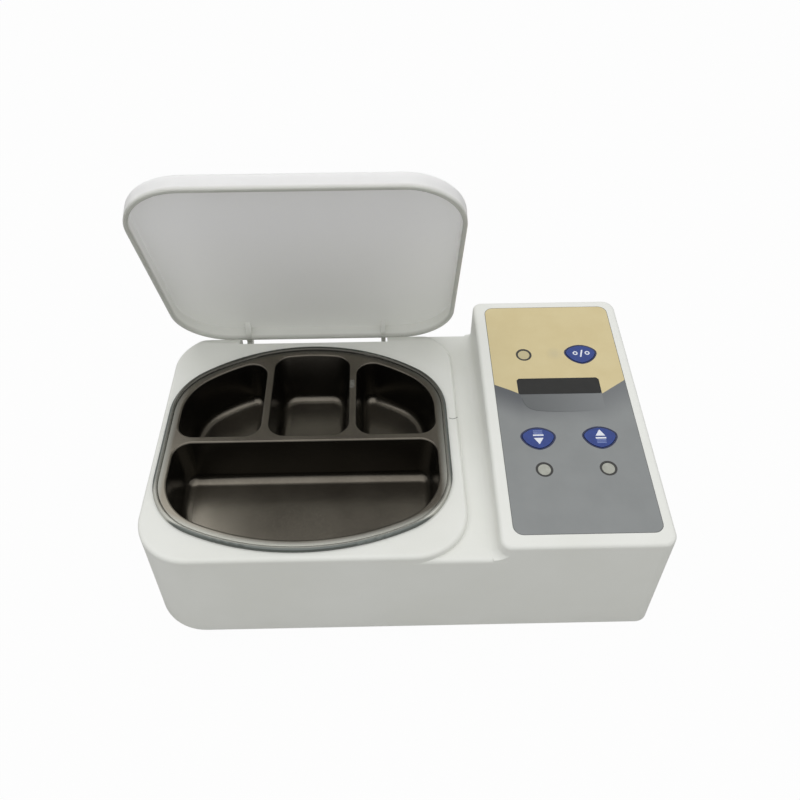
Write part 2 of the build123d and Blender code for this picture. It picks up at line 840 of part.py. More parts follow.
def wells():
    """The four compartments as solids, with their floors not yet rounded."""
    far = 2 * housing_width
    half = divider_width / 2
    row_back = row_divider + row_divider_width / 2
    row_front = row_divider - row_divider_width / 2
    floor = pan_bottom + pan_floor
    depth = ledge_top - floor
    drafted = [
        Pos(0, 0, ledge_top) * extrude(outline, amount=depth, dir=(0, 0, -1), taper=well_draft)
        for outline in (
            well_outline(-far, left_divider - half, row_back, far),
            well_outline(right_divider + half, far, row_back, far),
            well_outline(-far, far, -far, row_front))
    ]
    # the middle one has a steeper draft at its back wall, which ends in a straight floor edge
    draw = depth * tan(radians(well_draft))
    middle_lip = well_outline(left_divider + half, right_divider - half, row_back, far)
    middle_back = pan_back - well_inset - depth * tan(radians(middle_back_slope))
    middle_floor = rounded(left_divider + half + draw, right_divider - half - draw,
                           row_back + draw, middle_back, well_corner)
    middle = loft([Pos(0, 0, floor) * middle_floor, Pos(0, 0, ledge_top) * middle_lip])
    return drafted + [middle]


def wax_pan():
    flange = slab(pan_outline(0), flange_bottom, ledge_top)
    bead = slab(pan_outline(0) - pan_outline(bead_width), flange_bottom, ledge_top + bead_height)
    bead = fillet(bead.faces().sort_by(Axis.Z)[-1].edges(), bead_fillet)
    body = Pos(0, 0, flange_bottom + 0.1) * extrude(
        pan_outline(pan_body_inset), amount=flange_bottom + 0.1 - pan_bottom,
        dir=(0, 0, -1), taper=pan_body_draft)
    pan = flange + body + bead
    for well in wells():
        pan -= fillet(well.faces().sort_by(Axis.Z)[0].edges(), well_floor_fillet)
    ledge = pan.faces().filter_by(Axis.Z).filter_by_position(Axis.Z, ledge_top - 0.01, ledge_top + 0.01)
    lips = [edge for face in ledge for wire in face.inner_wires() for edge in wire.edges()]
    return fillet(lips, well_lip_fillet)


def clamp_plate():
    plate = slab(rounded(clamp_left, clamp_right, clamp_front, clamp_back, clamp_corner),
                 clamp_bottom, insulation_bottom)
    for x, y in clamp_boss_places:
        plate -= disc(x, y, clamp_bottom, insulation_bottom, screw_radius + screw_clearance)
    return plate - sensor_hole()


def sensor_hole():
    return disc(sensor_x, sensor_y, clamp_bottom, pan_bottom, sensor_hole_radius)


def sensor_clip():
    """A strip under the clamp plate that holds the thermistor against the pan."""
    reach = sensor_hole_radius + clip_foot
    strip = block(sensor_x - reach, sensor_x + reach, sensor_y - clip_foot / 2 - 1,
                  sensor_y + clip_foot / 2 + 1, clamp_bottom - clip_thickness, clamp_bottom)
    return strip - disc(sensor_x, sensor_y, clamp_bottom - clip_thickness, clamp_bottom,
                        sensor_radius + thread_gap)


def thermal_cutout():
    size = (cutout_width, cutout_depth, cutout_height)
    body = block_at((sensor_x, cutout_y), size, clamp_bottom - cutout_height)
    return fillet(body.edges().filter_by(Axis.Z), 1.2)


def cutout_clip():
    """A strap over the thermal cut-out, with a foot at each side."""
    outer = cutout_depth / 2 + clip_thickness
    low = clamp_bottom - cutout_height - clip_thickness
    x0 = sensor_x - cutout_width / 4
    x1 = sensor_x + cutout_width / 4
    strap = block(x0, x1, cutout_y - outer, cutout_y + outer, low, clamp_bottom)
    strap += block(x0, x1, cutout_y - outer - clip_foot, cutout_y + outer + clip_foot,
                   clamp_bottom - clip_thickness, clamp_bottom)
    return strap - block(x0, x1, cutout_y - cutout_depth / 2, cutout_y + cutout_depth / 2,
                         clamp_bottom - cutout_height, clamp_bottom)


# Control panel

def panel_film():
    film = slab(rounded(film_left, film_right, film_front, film_back, film_corner),
                -film_thickness, 0)
    return panel * film - panel_openings()


def display_window():
    top = rounded(display_left + window_gap, display_right - window_gap,
                  display_front + window_gap, display_back - window_gap, display_corner)
    flange = rounded(display_left - window_flange, display_right + window_flange,
                     display_front - window_flange, display_back + window_flange, display_corner)
    window = slab(top, -wall, -window_recess)
    return panel * (window + slab(flange, -wall - window_flange_thickness, -wall))


def light_pipes():
    """One clear pipe behind each indicator: face, flange under the roof, and stem to its LED."""
    flange_bottom_level = -wall - window_flange_thickness
    stem_bottom = control_board_top + led_height + module_gap
    pipes = []
    for x, v in indicator_places:
        pipe = disc(x, v, -wall, -window_recess, indicator_radius)
        pipe += disc(x, v, flange_bottom_level, -wall, indicator_flange_radius)
        pipe += disc(x, v, stem_bottom, flange_bottom_level, indicator_stem_radius)
        pipes.append(panel * pipe)
    return pipes


def key(place):
    """A key: cap, flange under the roof, and the stem that presses its switch."""
    flange_top = -wall - key_flange_gap
    flange_low = flange_top - key_flange_thickness
    cap = slab(key_outline(0), flange_low, key_rise)
    cap = fillet(cap.faces().sort_by(Axis.Z)[-1].edges(), 0.25)
    cap += slab(key_outline(key_flange), flange_low, flange_top)
    cap += disc(0, 0, plunger_top, flange_low, key_stem_radius)
    return panel * Pos(place[0], place[1], 0) * cap


def plunger(place):
    return panel * disc(place[0], place[1], plunger_bottom, plunger_top, plunger_radius)


def tact_switch(place):
    body = block_at(place, (tact_size, tact_size, tact_height), control_board_top)
    well_bottom = plunger_bottom - key_travel - plunger_room
    well = disc(place[0], place[1], well_bottom, 0, plunger_radius + plunger_gap)
    return panel * (body - well)


def control_board():
    board = block(board_left, board_right, -control_board_half_length, control_board_half_length,
                  control_board_bottom, control_board_top)
    for x, v in control_boss_places:
        board -= disc(x, v, control_board_bottom, control_board_top, screw_radius + screw_clearance)
    return panel * board


def control_board_screws():
    length = board_thickness + control_board_depth - 2 * wall
    return [panel * screw(x, v, control_board_bottom, length) for x, v in control_boss_places]


def display_module():
    x = (display_left + display_right) / 2
    v = (display_front + display_back) / 2
    top = -wall - window_flange_thickness - module_gap
    size = (module_width, module_height, top - control_board_top)
    return panel * block_at((x, v), size, control_board_top)


def leds():
    size = (led_size, led_size, led_height)
    return [panel * block_at(place, size, control_board_top) for place in indicator_places]


def on_board(offset):
    """A place on the control board, measured from its middle."""
    return (board_middle + offset[0], offset[1])


def board_parts():
    """Small parts soldered under the control board: chips, a crystal and a buzzer."""
    under = control_board_bottom
    driver = block_at(on_board(driver_offset), driver_size, under - driver_size[2])
    crystal = block_at(on_board(crystal_offset), crystal_size, under - crystal_size[2])
    buzzer = disc(*on_board(buzzer_offset), under - buzzer_height, under, buzzer_radius)
    regulator = block_at(on_board(regulator_offset), regulator_size, under - regulator_size[2])
    return [panel * part for part in (driver, crystal, buzzer, regulator)]


def controller_chip():
    return panel * block_at(on_board(chip_offset), chip_size, control_board_bottom - chip_size[2])


# Power board

def power_board():
    board = block(board_left, board_right, power_board_front, power_board_back,
                  power_board_bottom, power_board_top)
    for x, y in standoff_places:
        board -= disc(x, y, power_board_bottom, power_board_top, screw_radius + screw_clearance)
    return board


def power_board_screws():
    """Board screws, driven down into the standoffs."""
    turned = []
    for x, y in standoff_places:
        head = disc(x, y, power_board_top, power_board_top + screw_head_height, screw_head_radius)
        shank = disc(x, y, base_thickness, power_board_top, screw_radius)
        turned.append(head + shank)
    return turned


def transformer():
    """Laminated core with its winding showing at both sides."""
    width, depth, height = transformer_width, transformer_depth, transformer_height
    core = block_at(transformer_place, (width, depth * 0.55, height), power_board_top)
    winding = block_at(transformer_place, (width * 0.62, depth, height * 0.7),
                       power_board_top + height * 0.15)
    feet = block_at(transformer_place, (width, depth * 0.8, 2.0), power_board_top)
    return core + fillet(winding.edges().filter_by(Axis.Z), 4.0) + feet


def fuse():
    x, y = fuse_place
    z = power_board_top + fuse_radius + fuse_clip_wall
    return rod(x - fuse_length / 2, x + fuse_length / 2, y, z, fuse_radius)


def fuse_clips():
    x, y = fuse_place
    z = power_board_top + fuse_radius + fuse_clip_wall
    clips = []
    for side in (-1, 1):
        centre = x + side * (fuse_length - fuse_clip_length) / 2
        x0 = centre - fuse_clip_length / 2
        x1 = centre + fuse_clip_length / 2
        ring = rod(x0, x1, y, z, fuse_radius + fuse_clip_wall)
        ring += block(x0, x1, y - 1.5, y + 1.5, power_board_top, z)
        ring -= rod(x0, x1, y, z, fuse_radius)
        mouth = block(x0, x1, y - fuse_radius * 0.8, y + fuse_radius * 0.8, z, z + 3 * fuse_radius)
        clips.append(ring - mouth)
    return clips


def terminal_block():
    width, depth, height = terminal_size
    body = block_at(terminal_place, terminal_size, power_board_top)
    pitch = depth / terminal_ways
    for index in range(terminal_ways):
        y = terminal_place[1] + (index - (terminal_ways - 1) / 2) * pitch
        top = power_board_top + height
        body -= disc(terminal_place[0], y, top - 3, top, 1.6)
    return body


def ribbon_sockets():
    top = panel * block_at((ribbon_x, ribbon_top_v), socket_size,
                           control_board_bottom - socket_size[2])
    bottom = block_at((ribbon_x, ribbon_bottom_y), socket_size, power_board_top)
    return top, bottom


def ribbon_cable():
    """Flat cable between the two sockets, with a slack bend toward the back."""
    socket_face = control_board_bottom - socket_size[2]
    start = (panel * Pos(ribbon_x, ribbon_top_v, socket_face)).position
    bend = (panel * Pos(ribbon_x, ribbon_top_v, socket_face - ribbon_straight)).position
    low = power_board_top + socket_size[2]
    path = FilletPolyline(
        start,
        bend,
        (ribbon_x, ribbon_bottom_y + ribbon_slack, (start.Z + low) / 2),
        (ribbon_x, ribbon_bottom_y, low + ribbon_straight),
        (ribbon_x, ribbon_bottom_y, low),
        radius=ribbon_bend)
    section = Plane(path @ 0, x_dir=(1, 0, 0), z_dir=path % 0) * Rectangle(
        ribbon_width, ribbon_thickness)
    return sweep(section, path=path)


# Mains inlet and switch, drawn on the back wall: x to the left, y up, z outward

def mains_inlet():
    flange = Pos(-inlet_x, inlet_z, 0) * RectangleRounded(
        inlet_flange_width, inlet_flange_height, inlet_corner)
    for side in (-1, 1):
        flange -= Pos(-inlet_x + side * inlet_screw_pitch / 2, inlet_z) * Circle(
            screw_radius + screw_clearance)
    outer = Pos(-inlet_x, inlet_z, 0) * RectangleRounded(
        inlet_body_width, inlet_body_height, inlet_corner)
    cavity = Pos(-inlet_x, inlet_z, 0) * RectangleRounded(
        inlet_cavity_width, inlet_cavity_height, inlet_corner - 1)
    depth = inlet_cavity_depth - inlet_flange_thickness
    body = slab(flange, 0, inlet_flange_thickness)
    body += slab(outer, -depth - inlet_end_wall, 0)
    body -= slab(cavity, -depth, inlet_flange_thickness)
    for x, z in inlet_pin_places():
        body -= pin_blade(x, z, -depth - inlet_end_wall, -depth)
    return back_wall * body


def inlet_pin_places():
    """Two outer contacts level with each other, and the earth contact between and above."""
    return [
        (-inlet_x - inlet_pin_pitch, inlet_z - inlet_pin_drop),
        (-inlet_x + inlet_pin_pitch, inlet_z - inlet_pin_drop),
        (-inlet_x, inlet_z + inlet_pin_drop),
    ]


def pin_blade(x, z, level0, level1):
    return Pos(x, z, (level0 + level1) / 2) * Box(inlet_pin[1], inlet_pin[0], level1 - level0)


def inlet_pins():
    depth = inlet_cavity_depth - inlet_flange_thickness
    tail = -depth - inlet_end_wall - inlet_tail
    return [
        back_wall * pin_blade(x, z, tail, -depth + inlet_pin_length)
        for x, z in inlet_pin_places()
    ]


def inlet_screws():
    screws = []
    for side in (-1, 1):
        x = -inlet_x + side * inlet_screw_pitch / 2
        head = disc(x, inlet_z, inlet_flange_thickness, inlet_flange_thickness + screw_head_height,
                    screw_head_radius)
        shank = disc(x, inlet_z, inlet_flange_thickness - screw_length, inlet_flange_thickness,
                     screw_radius)
        screws.append(back_wall * (head + shank))
    return screws


def switch_frame():
    flange = Pos(-switch_x, switch_z, 0) * RectangleRounded(
        switch_flange_width, switch_flange_height, 1.2)
    outer = Pos(-switch_x, switch_z, 0) * Rectangle(switch_body_width, switch_body_height)
    mouth = Pos(-switch_x, switch_z, 0) * Rectangle(switch_mouth_width, switch_mouth_height)
    body = slab(flange, 0, switch_flange_thickness) + slab(outer, -switch_body_depth, 0)
    body -= slab(mouth, -switch_mouth_depth, switch_flange_thickness)
    stub = switch_mouth_width / 2 + rocker_stub
    body -= Pos(-switch_x, switch_z, -rocker_pivot_depth) * Rot(0, 90, 0) * Cylinder(
        rocker_pivot_radius + rocker_pivot_gap, 2 * stub + 0.2)
    return back_wall * body


def switch_rocker():
    """The rocker, tilted to its off position about its two pivot stubs."""
    profile = make_face(Polyline(
        (-rocker_half_height, 0.6),
        (-rocker_half_height, rocker_end_reach),
        (0, rocker_middle_reach),
        (rocker_half_height, rocker_end_reach),
        (rocker_half_height, 0.6),
        (2.0, -2.6),
        (-2.0, -2.6),
        (-rocker_half_height, 0.6)))
    side = Plane(origin=(-rocker_width / 2, 0, 0), x_dir=(0, 1, 0), z_dir=(1, 0, 0))
    rocker = extrude(side * profile, amount=rocker_width)
    stub = switch_mouth_width / 2 + rocker_stub
    rocker += Rot(0, 90, 0) * Cylinder(rocker_pivot_radius, 2 * stub)
    place = back_wall * Pos(-switch_x, switch_z, -rocker_pivot_depth)
    return place * Rot(rocker_angle, 0, 0) * rocker


def switch_tabs():
    """The two tabs that the mains leads push on to."""
    depth = switch_body_depth + switch_tab_length / 2
    blade = Box(switch_tab_width, switch_tab_thickness, switch_tab_length)
    return [
        back_wall * Pos(-switch_x, switch_z + side * switch_tab_spacing, -depth) * blade
        for side in (-1, 1)
    ]


# Leads inside the housing

def terminal_entry(way):
    """Where a lead meets the terminal block, counted from the front."""
    pitch = terminal_size[1] / terminal_ways
    y = terminal_place[1] + (way - (terminal_ways - 1) / 2) * pitch
    return (terminal_place[0] - terminal_size[0] / 2, y, power_board_top + terminal_size[2] / 2)


def behind_wall(x, z, depth):
    """A point inside the housing, straight in from the back wall."""
    point = (back_wall * Pos(-x, z, -depth)).position
    return (point.X, point.Y, point.Z)


def heater_pad():
    """The heater's film, with the tab that its leads leave from."""
    pad = slab(pan_outline(heater_inset), heater_bottom, pan_bottom)
    y = (terminal_entry(2)[1] + terminal_entry(3)[1]) / 2
    pad += block(pan_centre, heater_tab_end, y - heater_tab_width / 2, y + heater_tab_width / 2,
                 heater_bottom, pan_bottom)
    return pad - sensor_hole()


def heater_leads():
    """From the heater's tab down to the terminal block."""
    z = (heater_bottom + pan_bottom) / 2
    leads = []
    for way in (2, 3):
        end = terminal_entry(way)
        leads.append(lead([
            (heater_tab_end, end[1], z),
            (heater_tab_end + heater_lead_out, end[1], z),
            (end[0] - heater_lead_in, end[1], end[2]),
            end,
        ], heater_lead_size))
    return leads


def sensor_lead():
    end = terminal_entry(1)
    start_z = pan_bottom - sensor_length
    return lead([
        (sensor_x, sensor_y, start_z),
        (sensor_x, sensor_y, start_z - sensor_lead_drop),
        *bends_from(sensor_x, sensor_y, sensor_lead_bends),
        (end[0] - sensor_lead_in, end[1], end[2]),
        end,
    ], sensor_lead_size)


def bends_from(x, y, offsets):
    """Points of a lead's route, each given by its reach from a place and its own height."""
    return [(x + across, y + back, z) for across, back, z in offsets]


def cutout_leads():
    """From both ends of the thermal cut-out to the terminal block."""
    z = clamp_bottom - cutout_height / 2
    right = sensor_x + cutout_width / 2
    left = sensor_x - cutout_width / 2
    end = terminal_entry(5)
    from_right = lead([
        (right, cutout_y, z),
        (right + cutout_lead_out, cutout_y, z),
        *bends_from(sensor_x, cutout_y, cutout_right_bends),
        (end[0] - cutout_right_in, end[1], end[2]),
        end,
    ], heater_lead_size)
    end = terminal_entry(4)
    from_left = lead([
        (left, cutout_y, z),
        (left - cutout_lead_out, cutout_y, z),
        *bends_from(sensor_x, cutout_y, cutout_left_bends),
        (end[0] - cutout_left_in, end[1], end[2]),
        end,
    ], heater_lead_size)
    return from_right, from_left


def mains_leads():
    """Inlet to switch, switch to board, neutral to board, and earth to the clamp plate."""
    tail = inlet_cavity_depth - inlet_flange_thickness + inlet_end_wall + inlet_tail
    tab = switch_body_depth + switch_tab_length
    live_x = inlet_x - inlet_pin_pitch
    neutral_x = inlet_x + inlet_pin_pitch
    low_z = inlet_z - inlet_pin_drop
    earth_z = inlet_z + inlet_pin_drop
    lower_tab = switch_z - switch_tab_spacing
    upper_tab = switch_z + switch_tab_spacing
    to_switch = lead([
        behind_wall(live_x, low_z, tail),
        behind_wall(live_x, low_z, tail + mains_lead_out),
        *bends_from(live_x, half_depth, live_bends),
        *bends_from(switch_x, half_depth, switch_bends),
        behind_wall(switch_x, lower_tab, tab + mains_lead_out),
        behind_wall(switch_x, lower_tab, tab),
    ], mains_lead_size)
    last_bend = bends_from(board_left, half_depth, board_bends)[-1]
    to_board = lead([
        behind_wall(switch_x, upper_tab, tab),
        behind_wall(switch_x, upper_tab, tab + tab_lead_out),
        *bends_from(board_left, half_depth, board_bends),
        (last_bend[0], last_bend[1], power_board_top),
    ], mains_lead_size)
    last_bend = bends_from(neutral_x, half_depth, neutral_bends)[-1]
    neutral = lead([
        behind_wall(neutral_x, low_z, tail),
        behind_wall(neutral_x, low_z, tail + neutral_lead_out),
        *bends_from(neutral_x, half_depth, neutral_bends),
        (last_bend[0], last_bend[1], power_board_top),
    ], mains_lead_size)
    plate_z = (clamp_bottom + insulation_bottom) / 2
    plate_y = half_depth - earth_lead_from_back
    earth = lead([
        behind_wall(inlet_x, earth_z, tail),
        behind_wall(inlet_x, earth_z, tail + mains_lead_out),
        *bends_from(inlet_x, half_depth, earth_bends),
        (clamp_right + earth_lead_reach, plate_y, plate_z),
        (clamp_right, plate_y, plate_z),
    ], mains_lead_size)
    return to_switch, to_board, neutral, earth


def all_pieces():
    pieces = {
        "upper_housing": upper_housing(),
        "base_plate": base_plate(),
    }
    for name, (x, y) in foot_places.items():
        pieces[name] = foot(x, y)
    pieces["base_screws"] = [screw(x, y, 0) for x, y in base_boss_places]
    pieces["lid"] = lid()
    pieces["hinge_pins"] = hinge_pins()
    pieces["friction_washers"] = friction_washers()
    pieces["wax_pan"] = wax_pan()
    pieces["pan_gasket"] = slab(pan_outline(gasket_inset) - pan_outline(opening_inset),
                                deck_height, flange_bottom)
    pieces["heater_pad"] = heater_pad()
    pieces["insulation_blanket"] = slab(pan_outline(insulation_inset), insulation_bottom,
                                        heater_bottom) - sensor_hole()
    pieces["clamp_plate"] = clamp_plate()
    pieces["clamp_screws"] = [screw(x, y, clamp_bottom) for x, y in clamp_boss_places]
    pieces["thermistor"] = disc(sensor_x, sensor_y, pan_bottom - sensor_length, pan_bottom,
                                sensor_radius)
    pieces["sensor_clip"] = sensor_clip()
    pieces["thermal_cutout"] = thermal_cutout()
    pieces["cutout_clip"] = cutout_clip()
    pieces["panel_film"] = panel_film()
    pieces["display_window"] = display_window()
    pieces["light_pipes"] = light_pipes()
    for name, place in (("units", units_key), ("down", down_key), ("up", up_key)):
        pieces[f"key_{name}"] = key(place)
        pieces[f"plunger_{name}"] = plunger(place)
    pieces["tact_switches"] = [tact_switch(place) for place in (units_key, down_key, up_key)]
    pieces["control_board"] = control_board()
    pieces["control_board_screws"] = control_board_screws()
    pieces["display_module"] = display_module()
    pieces["indicator_leds"] = leds()
    pieces["controller_chip"] = controller_chip()
    pieces["control_parts"] = board_parts()
    pieces["ribbon_sockets"] = ribbon_sockets()
    pieces["ribbon_cable"] = ribbon_cable()
    pieces["power_board"] = power_board()
    pieces["power_board_screws"] = power_board_screws()
    pieces["transformer"] = transformer()
    pieces["relay"] = block_at(relay_place, relay_size, power_board_top)
    pieces["suppression_capacitor"] = block_at(capacitor_place, capacitor_size, power_board_top)
    pieces["fuse"] = fuse()
    pieces["fuse_clips"] = fuse_clips()
    pieces["terminal_block"] = terminal_block()
    pieces["mains_inlet"] = mains_inlet()
    pieces["inlet_pins"] = inlet_pins()
    pieces["inlet_screws"] = inlet_screws()
    pieces["switch_frame"] = switch_frame()
    pieces["switch_rocker"] = switch_rocker()
    pieces["switch_tabs"] = switch_tabs()
    pieces["heater_leads"] = heater_leads()
    pieces["sensor_lead"] = sensor_lead()
    pieces["cutout_leads"] = cutout_leads()
    pieces["mains_leads"] = mains_leads()
    return pieces


def whole(piece):
    """One compound for a node, whether it is one solid or a group of equal pieces."""
    parts = piece if isinstance(piece, (list, tuple)) else [piece]
    solids = [solid for part in parts for solid in part.solids()]
    return Compound(solids) if len(solids) > 1 else solids[0]


pieces = {name: whole(piece) for name, piece in all_pieces().items()}
limits = Compound(list(pieces.values())).bounding_box()
to_origin = Pos(-limits.center().X, -limits.center().Y, -limits.min.Z)

os.makedirs("parts", exist_ok=True)
for name, piece in pieces.items():
    export_step(to_origin * piece, f"parts/{name}.step")
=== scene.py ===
import json
from math import atan2, cos, pi, radians, sin

import bmesh
import bpy
from mathutils import Matrix, Vector


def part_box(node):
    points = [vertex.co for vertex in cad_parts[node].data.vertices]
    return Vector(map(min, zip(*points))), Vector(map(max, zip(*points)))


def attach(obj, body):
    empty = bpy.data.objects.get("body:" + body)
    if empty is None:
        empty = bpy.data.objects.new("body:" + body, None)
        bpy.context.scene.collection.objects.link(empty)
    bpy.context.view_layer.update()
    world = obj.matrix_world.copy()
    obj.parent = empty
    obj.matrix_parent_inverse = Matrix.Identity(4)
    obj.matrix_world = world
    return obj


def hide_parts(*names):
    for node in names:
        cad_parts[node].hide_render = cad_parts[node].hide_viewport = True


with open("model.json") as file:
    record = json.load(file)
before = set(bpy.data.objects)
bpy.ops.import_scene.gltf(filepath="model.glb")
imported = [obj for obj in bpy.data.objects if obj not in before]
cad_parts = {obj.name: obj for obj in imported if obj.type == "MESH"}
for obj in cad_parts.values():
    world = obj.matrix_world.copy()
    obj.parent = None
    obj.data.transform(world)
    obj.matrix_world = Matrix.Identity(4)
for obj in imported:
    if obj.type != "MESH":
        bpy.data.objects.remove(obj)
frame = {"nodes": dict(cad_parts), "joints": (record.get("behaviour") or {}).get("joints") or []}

nodes = frame["nodes"]
joints = {joint["name"]: joint for joint in frame["joints"]}
mm = 0.001
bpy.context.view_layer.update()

# the housing stands on z = 0 in its own frame, with its middle on x = y = 0. Places are given in mm there
low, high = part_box("upper_housing")
origin = Vector(((low.x + high.x) / 2, (low.y + high.y) / 2, low.z))


def at(x, y, z=0):
    return origin + Vector((x, y, z)) * mm


print("frame loaded, housing origin", [round(value / mm, 3) for value in origin])


# camera

view = {
    "place": (-7.58, -266.48, 352.5),
    "down": 45.494, "yaw": 0.739, "roll": -0.480,  # degrees
    "lens": 35.78, "sensor": 36, "shift": (0.01295, -0.00335), "nearest": 10,
}


def makeCamera(spec):
    down, yaw, roll = (radians(spec[key]) for key in ("down", "yaw", "roll"))
    ahead = Vector((sin(yaw) * cos(down), cos(yaw) * cos(down), -sin(down)))
    level = Vector((cos(yaw), -sin(yaw), 0))
    rise = level.cross(ahead)
    right = level * cos(roll) + rise * sin(roll)
    up = rise * cos(roll) - level * sin(roll)
    data = bpy.data.cameras.new("camera")
    data.lens = spec["lens"]
    data.sensor_width = spec["sensor"]
    data.shift_x, data.shift_y = spec["shift"]
    data.clip_start = spec["nearest"] * mm
    camera = bpy.data.objects.new("camera", data)
    turn = Matrix((right, up, -ahead)).transposed().to_4x4()
    camera.matrix_world = Matrix.Translation(at(*spec["place"])) @ turn
    bpy.context.scene.collection.objects.link(camera)
    bpy.context.scene.camera = camera


makeCamera(view)
print("camera placed")


# material helpers. A colour is an sRGB hex value, and one function turns it to linear

rgba = {"data_type": "RGBA"}
clearSpan = {"From Min": 0.35, "From Max": 0.65}  # of a noise texture's values: clear patches
softSpan = {"From Min": 0.3, "From Max": 0.7}  # and soft ones
falling = {"To Min": 1.0, "To Max": 0.0}  # for a share that falls from all to nothing


def linear(hexText):
    values = [int(hexText[i:i + 2], 16) / 255 for i in (1, 3, 5)]
    return tuple(v / 12.92 if v <= 0.04045 else ((v + 0.055) / 1.055) ** 2.4 for v in values) + (1.0,)


def setInputs(tree, node, inputs):
    for key, value in inputs.items():
        if isinstance(value, bpy.types.NodeSocket):
            tree.links.new(value, node.inputs[key])
        else:
            node.inputs[key].default_value = linear(value) if str(value).startswith("#") else value


def addNode(tree, kind, settings=None, inputs=None, out=0):
    node = tree.nodes.new(kind)
    for key, value in (settings or {}).items():
        setattr(node, key, value)
    setInputs(tree, node, inputs or {})
    return node.outputs[out] if node.outputs else node


def startMaterial(name, colour, roughness, ior=1.5, metallic=0.0):
    material = bpy.data.materials.new(name)
    material.use_nodes = True
    tree = material.node_tree
    shader = tree.nodes["Principled BSDF"]
    setInputs(tree, shader, {"Base Color": colour, "Roughness": roughness, "Metallic": metallic})
    if not metallic:
        shader.inputs["IOR"].default_value = ior
    return material, tree, shader, addNode(tree, "ShaderNodeTexCoord", out="Object")


# a surface that is nearly one colour: two close tones in patches, gloss that varies a little with them,
# and a fine grain. Patch, grain and depth are in mm

def wornFinish(name, colour, shade, roughness, metallic=0.0, patch=6, grain=0.5, depth=0.01, ior=1.5,
               swing=(-0.04, 0.06)):
    material, tree, shader, place = startMaterial(name, colour, roughness, ior, metallic)
    worn = addNode(tree, "ShaderNodeTexNoise", None, {"Vector": place, "Scale": 1000 / patch, "Detail": 3.0})
    spread = addNode(tree, "ShaderNodeMapRange", None, {**clearSpan, "Value": worn})
    tone = addNode(tree, "ShaderNodeMix", rgba, {0: spread, 6: colour, 7: shade}, 2)
    gloss = addNode(tree, "ShaderNodeMapRange", None, {
        **softSpan, "Value": worn, "To Min": roughness + swing[0], "To Max": roughness + swing[1]})
    fine = addNode(tree, "ShaderNodeTexNoise", None, {"Vector": place, "Scale": 1000 / grain})
    raised = addNode(tree, "ShaderNodeBump", None, {"Height": fine, "Distance": depth * mm})
    setInputs(tree, shader, {"Base Color": tone, "Roughness": gloss, "Normal": raised})
    return material, tree, shader, place, tone


# a surface whose pattern shows both in colour and as a relief, which is depth mm high

def patterned(tree, shader, pattern, share, dark, light, depth):
    tone = addNode(tree, "ShaderNodeMix", rgba, {0: share, 6: dark, 7: light}, 2)
    raised = addNode(tree, "ShaderNodeBump", None, {"Height": pattern, "Distance": depth * mm})
    setInputs(tree, shader, {"Base Color": tone, "Normal": raised})


# white moulded ABS: satin, with the fine etched grain of the mould and a faint uneven gloss

housingAbs = wornFinish("satinMouldedAbs", "#E8E9E4", "#E4E5DF", 0.45, patch=45, grain=0.7, depth=0.012,
                        ior=1.53)[0]
baseAbs = wornFinish("texturedMouldedAbs", "#E2E3DE", "#DCDDD7", 0.55, patch=45, depth=0.03, ior=1.53)[0]


# lid: whiter ABS from a polished mould, glossier than the housing. Its wall is thin enough to let some light
# through. Painted shade greys it a little towards the hinge, and greys the rim that rests on the deck more

lidFinish = {
    "far": "#FAFAF6", "near": "#E0E1DB", "reach": 118.0,
    "rim": "#B4B5AF", "rimPlane": 58.6, "rimFrom": 0.3, "rimTo": 2.4,
    "glow": 1.0, "glowDepth": 7.0, "touchSize": 22, "gloss": (0.285, 0.35),
}


def lidPlastic(spec):
    material, tree, shader, place = startMaterial("polishedMouldedAbs", spec["far"], 0.3, 1.53)
    setInputs(tree, shader, {"Subsurface Weight": spec["glow"], "Subsurface Radius": (1.0, 1.0, 1.0),
                             "Subsurface Scale": spec["glowDepth"] * mm})
    # the open lid's own directions: away from the hinge, and up from its rim
    hinge = Vector(joints["lid_hinge"]["pos_m"])
    lean = radians(joints["lid_hinge"]["range_deg"][1])
    away, upright = Vector((0, -cos(lean), sin(lean))), Vector((0, sin(lean), cos(lean)))
    along, height = (addNode(tree, "ShaderNodeVectorMath", {"operation": "DOT_PRODUCT"},
                             {0: place, 1: way}, "Value") for way in (away, upright))
    # painted shade: the lid is painted greyer towards the hinge
    along = addNode(tree, "ShaderNodeMapRange", {"interpolation_type": "SMOOTHSTEP"}, {
        "Value": along, "From Min": hinge.dot(away), "From Max": hinge.dot(away) + spec["reach"] * mm})
    tone = addNode(tree, "ShaderNodeMix", rgba, {0: along, 6: spec["near"], 7: spec["far"]}, 2)
    # painted shade: the rim face that rests on the deck is painted greyer
    rim = hinge.dot(upright) + at(0, 0, spec["rimPlane"]).z - hinge.z
    edge = addNode(tree, "ShaderNodeMapRange", None, {
        **falling, "Value": height,
        "From Min": rim + spec["rimFrom"] * mm, "From Max": rim + spec["rimTo"] * mm})
    tone = addNode(tree, "ShaderNodeMix", rgba, {0: edge, 6: tone, 7: spec["rim"]}, 2)
    touched = addNode(tree, "ShaderNodeTexNoise", None, {"Vector": place, "Scale": 1000 / spec["touchSize"]})
    gloss = addNode(tree, "ShaderNodeMapRange", None, {
        **softSpan, "Value": touched, "To Min": spec["gloss"][0], "To Max": spec["gloss"][1]})
    setInputs(tree, shader, {"Base Color": tone, "Roughness": gloss})
    return material
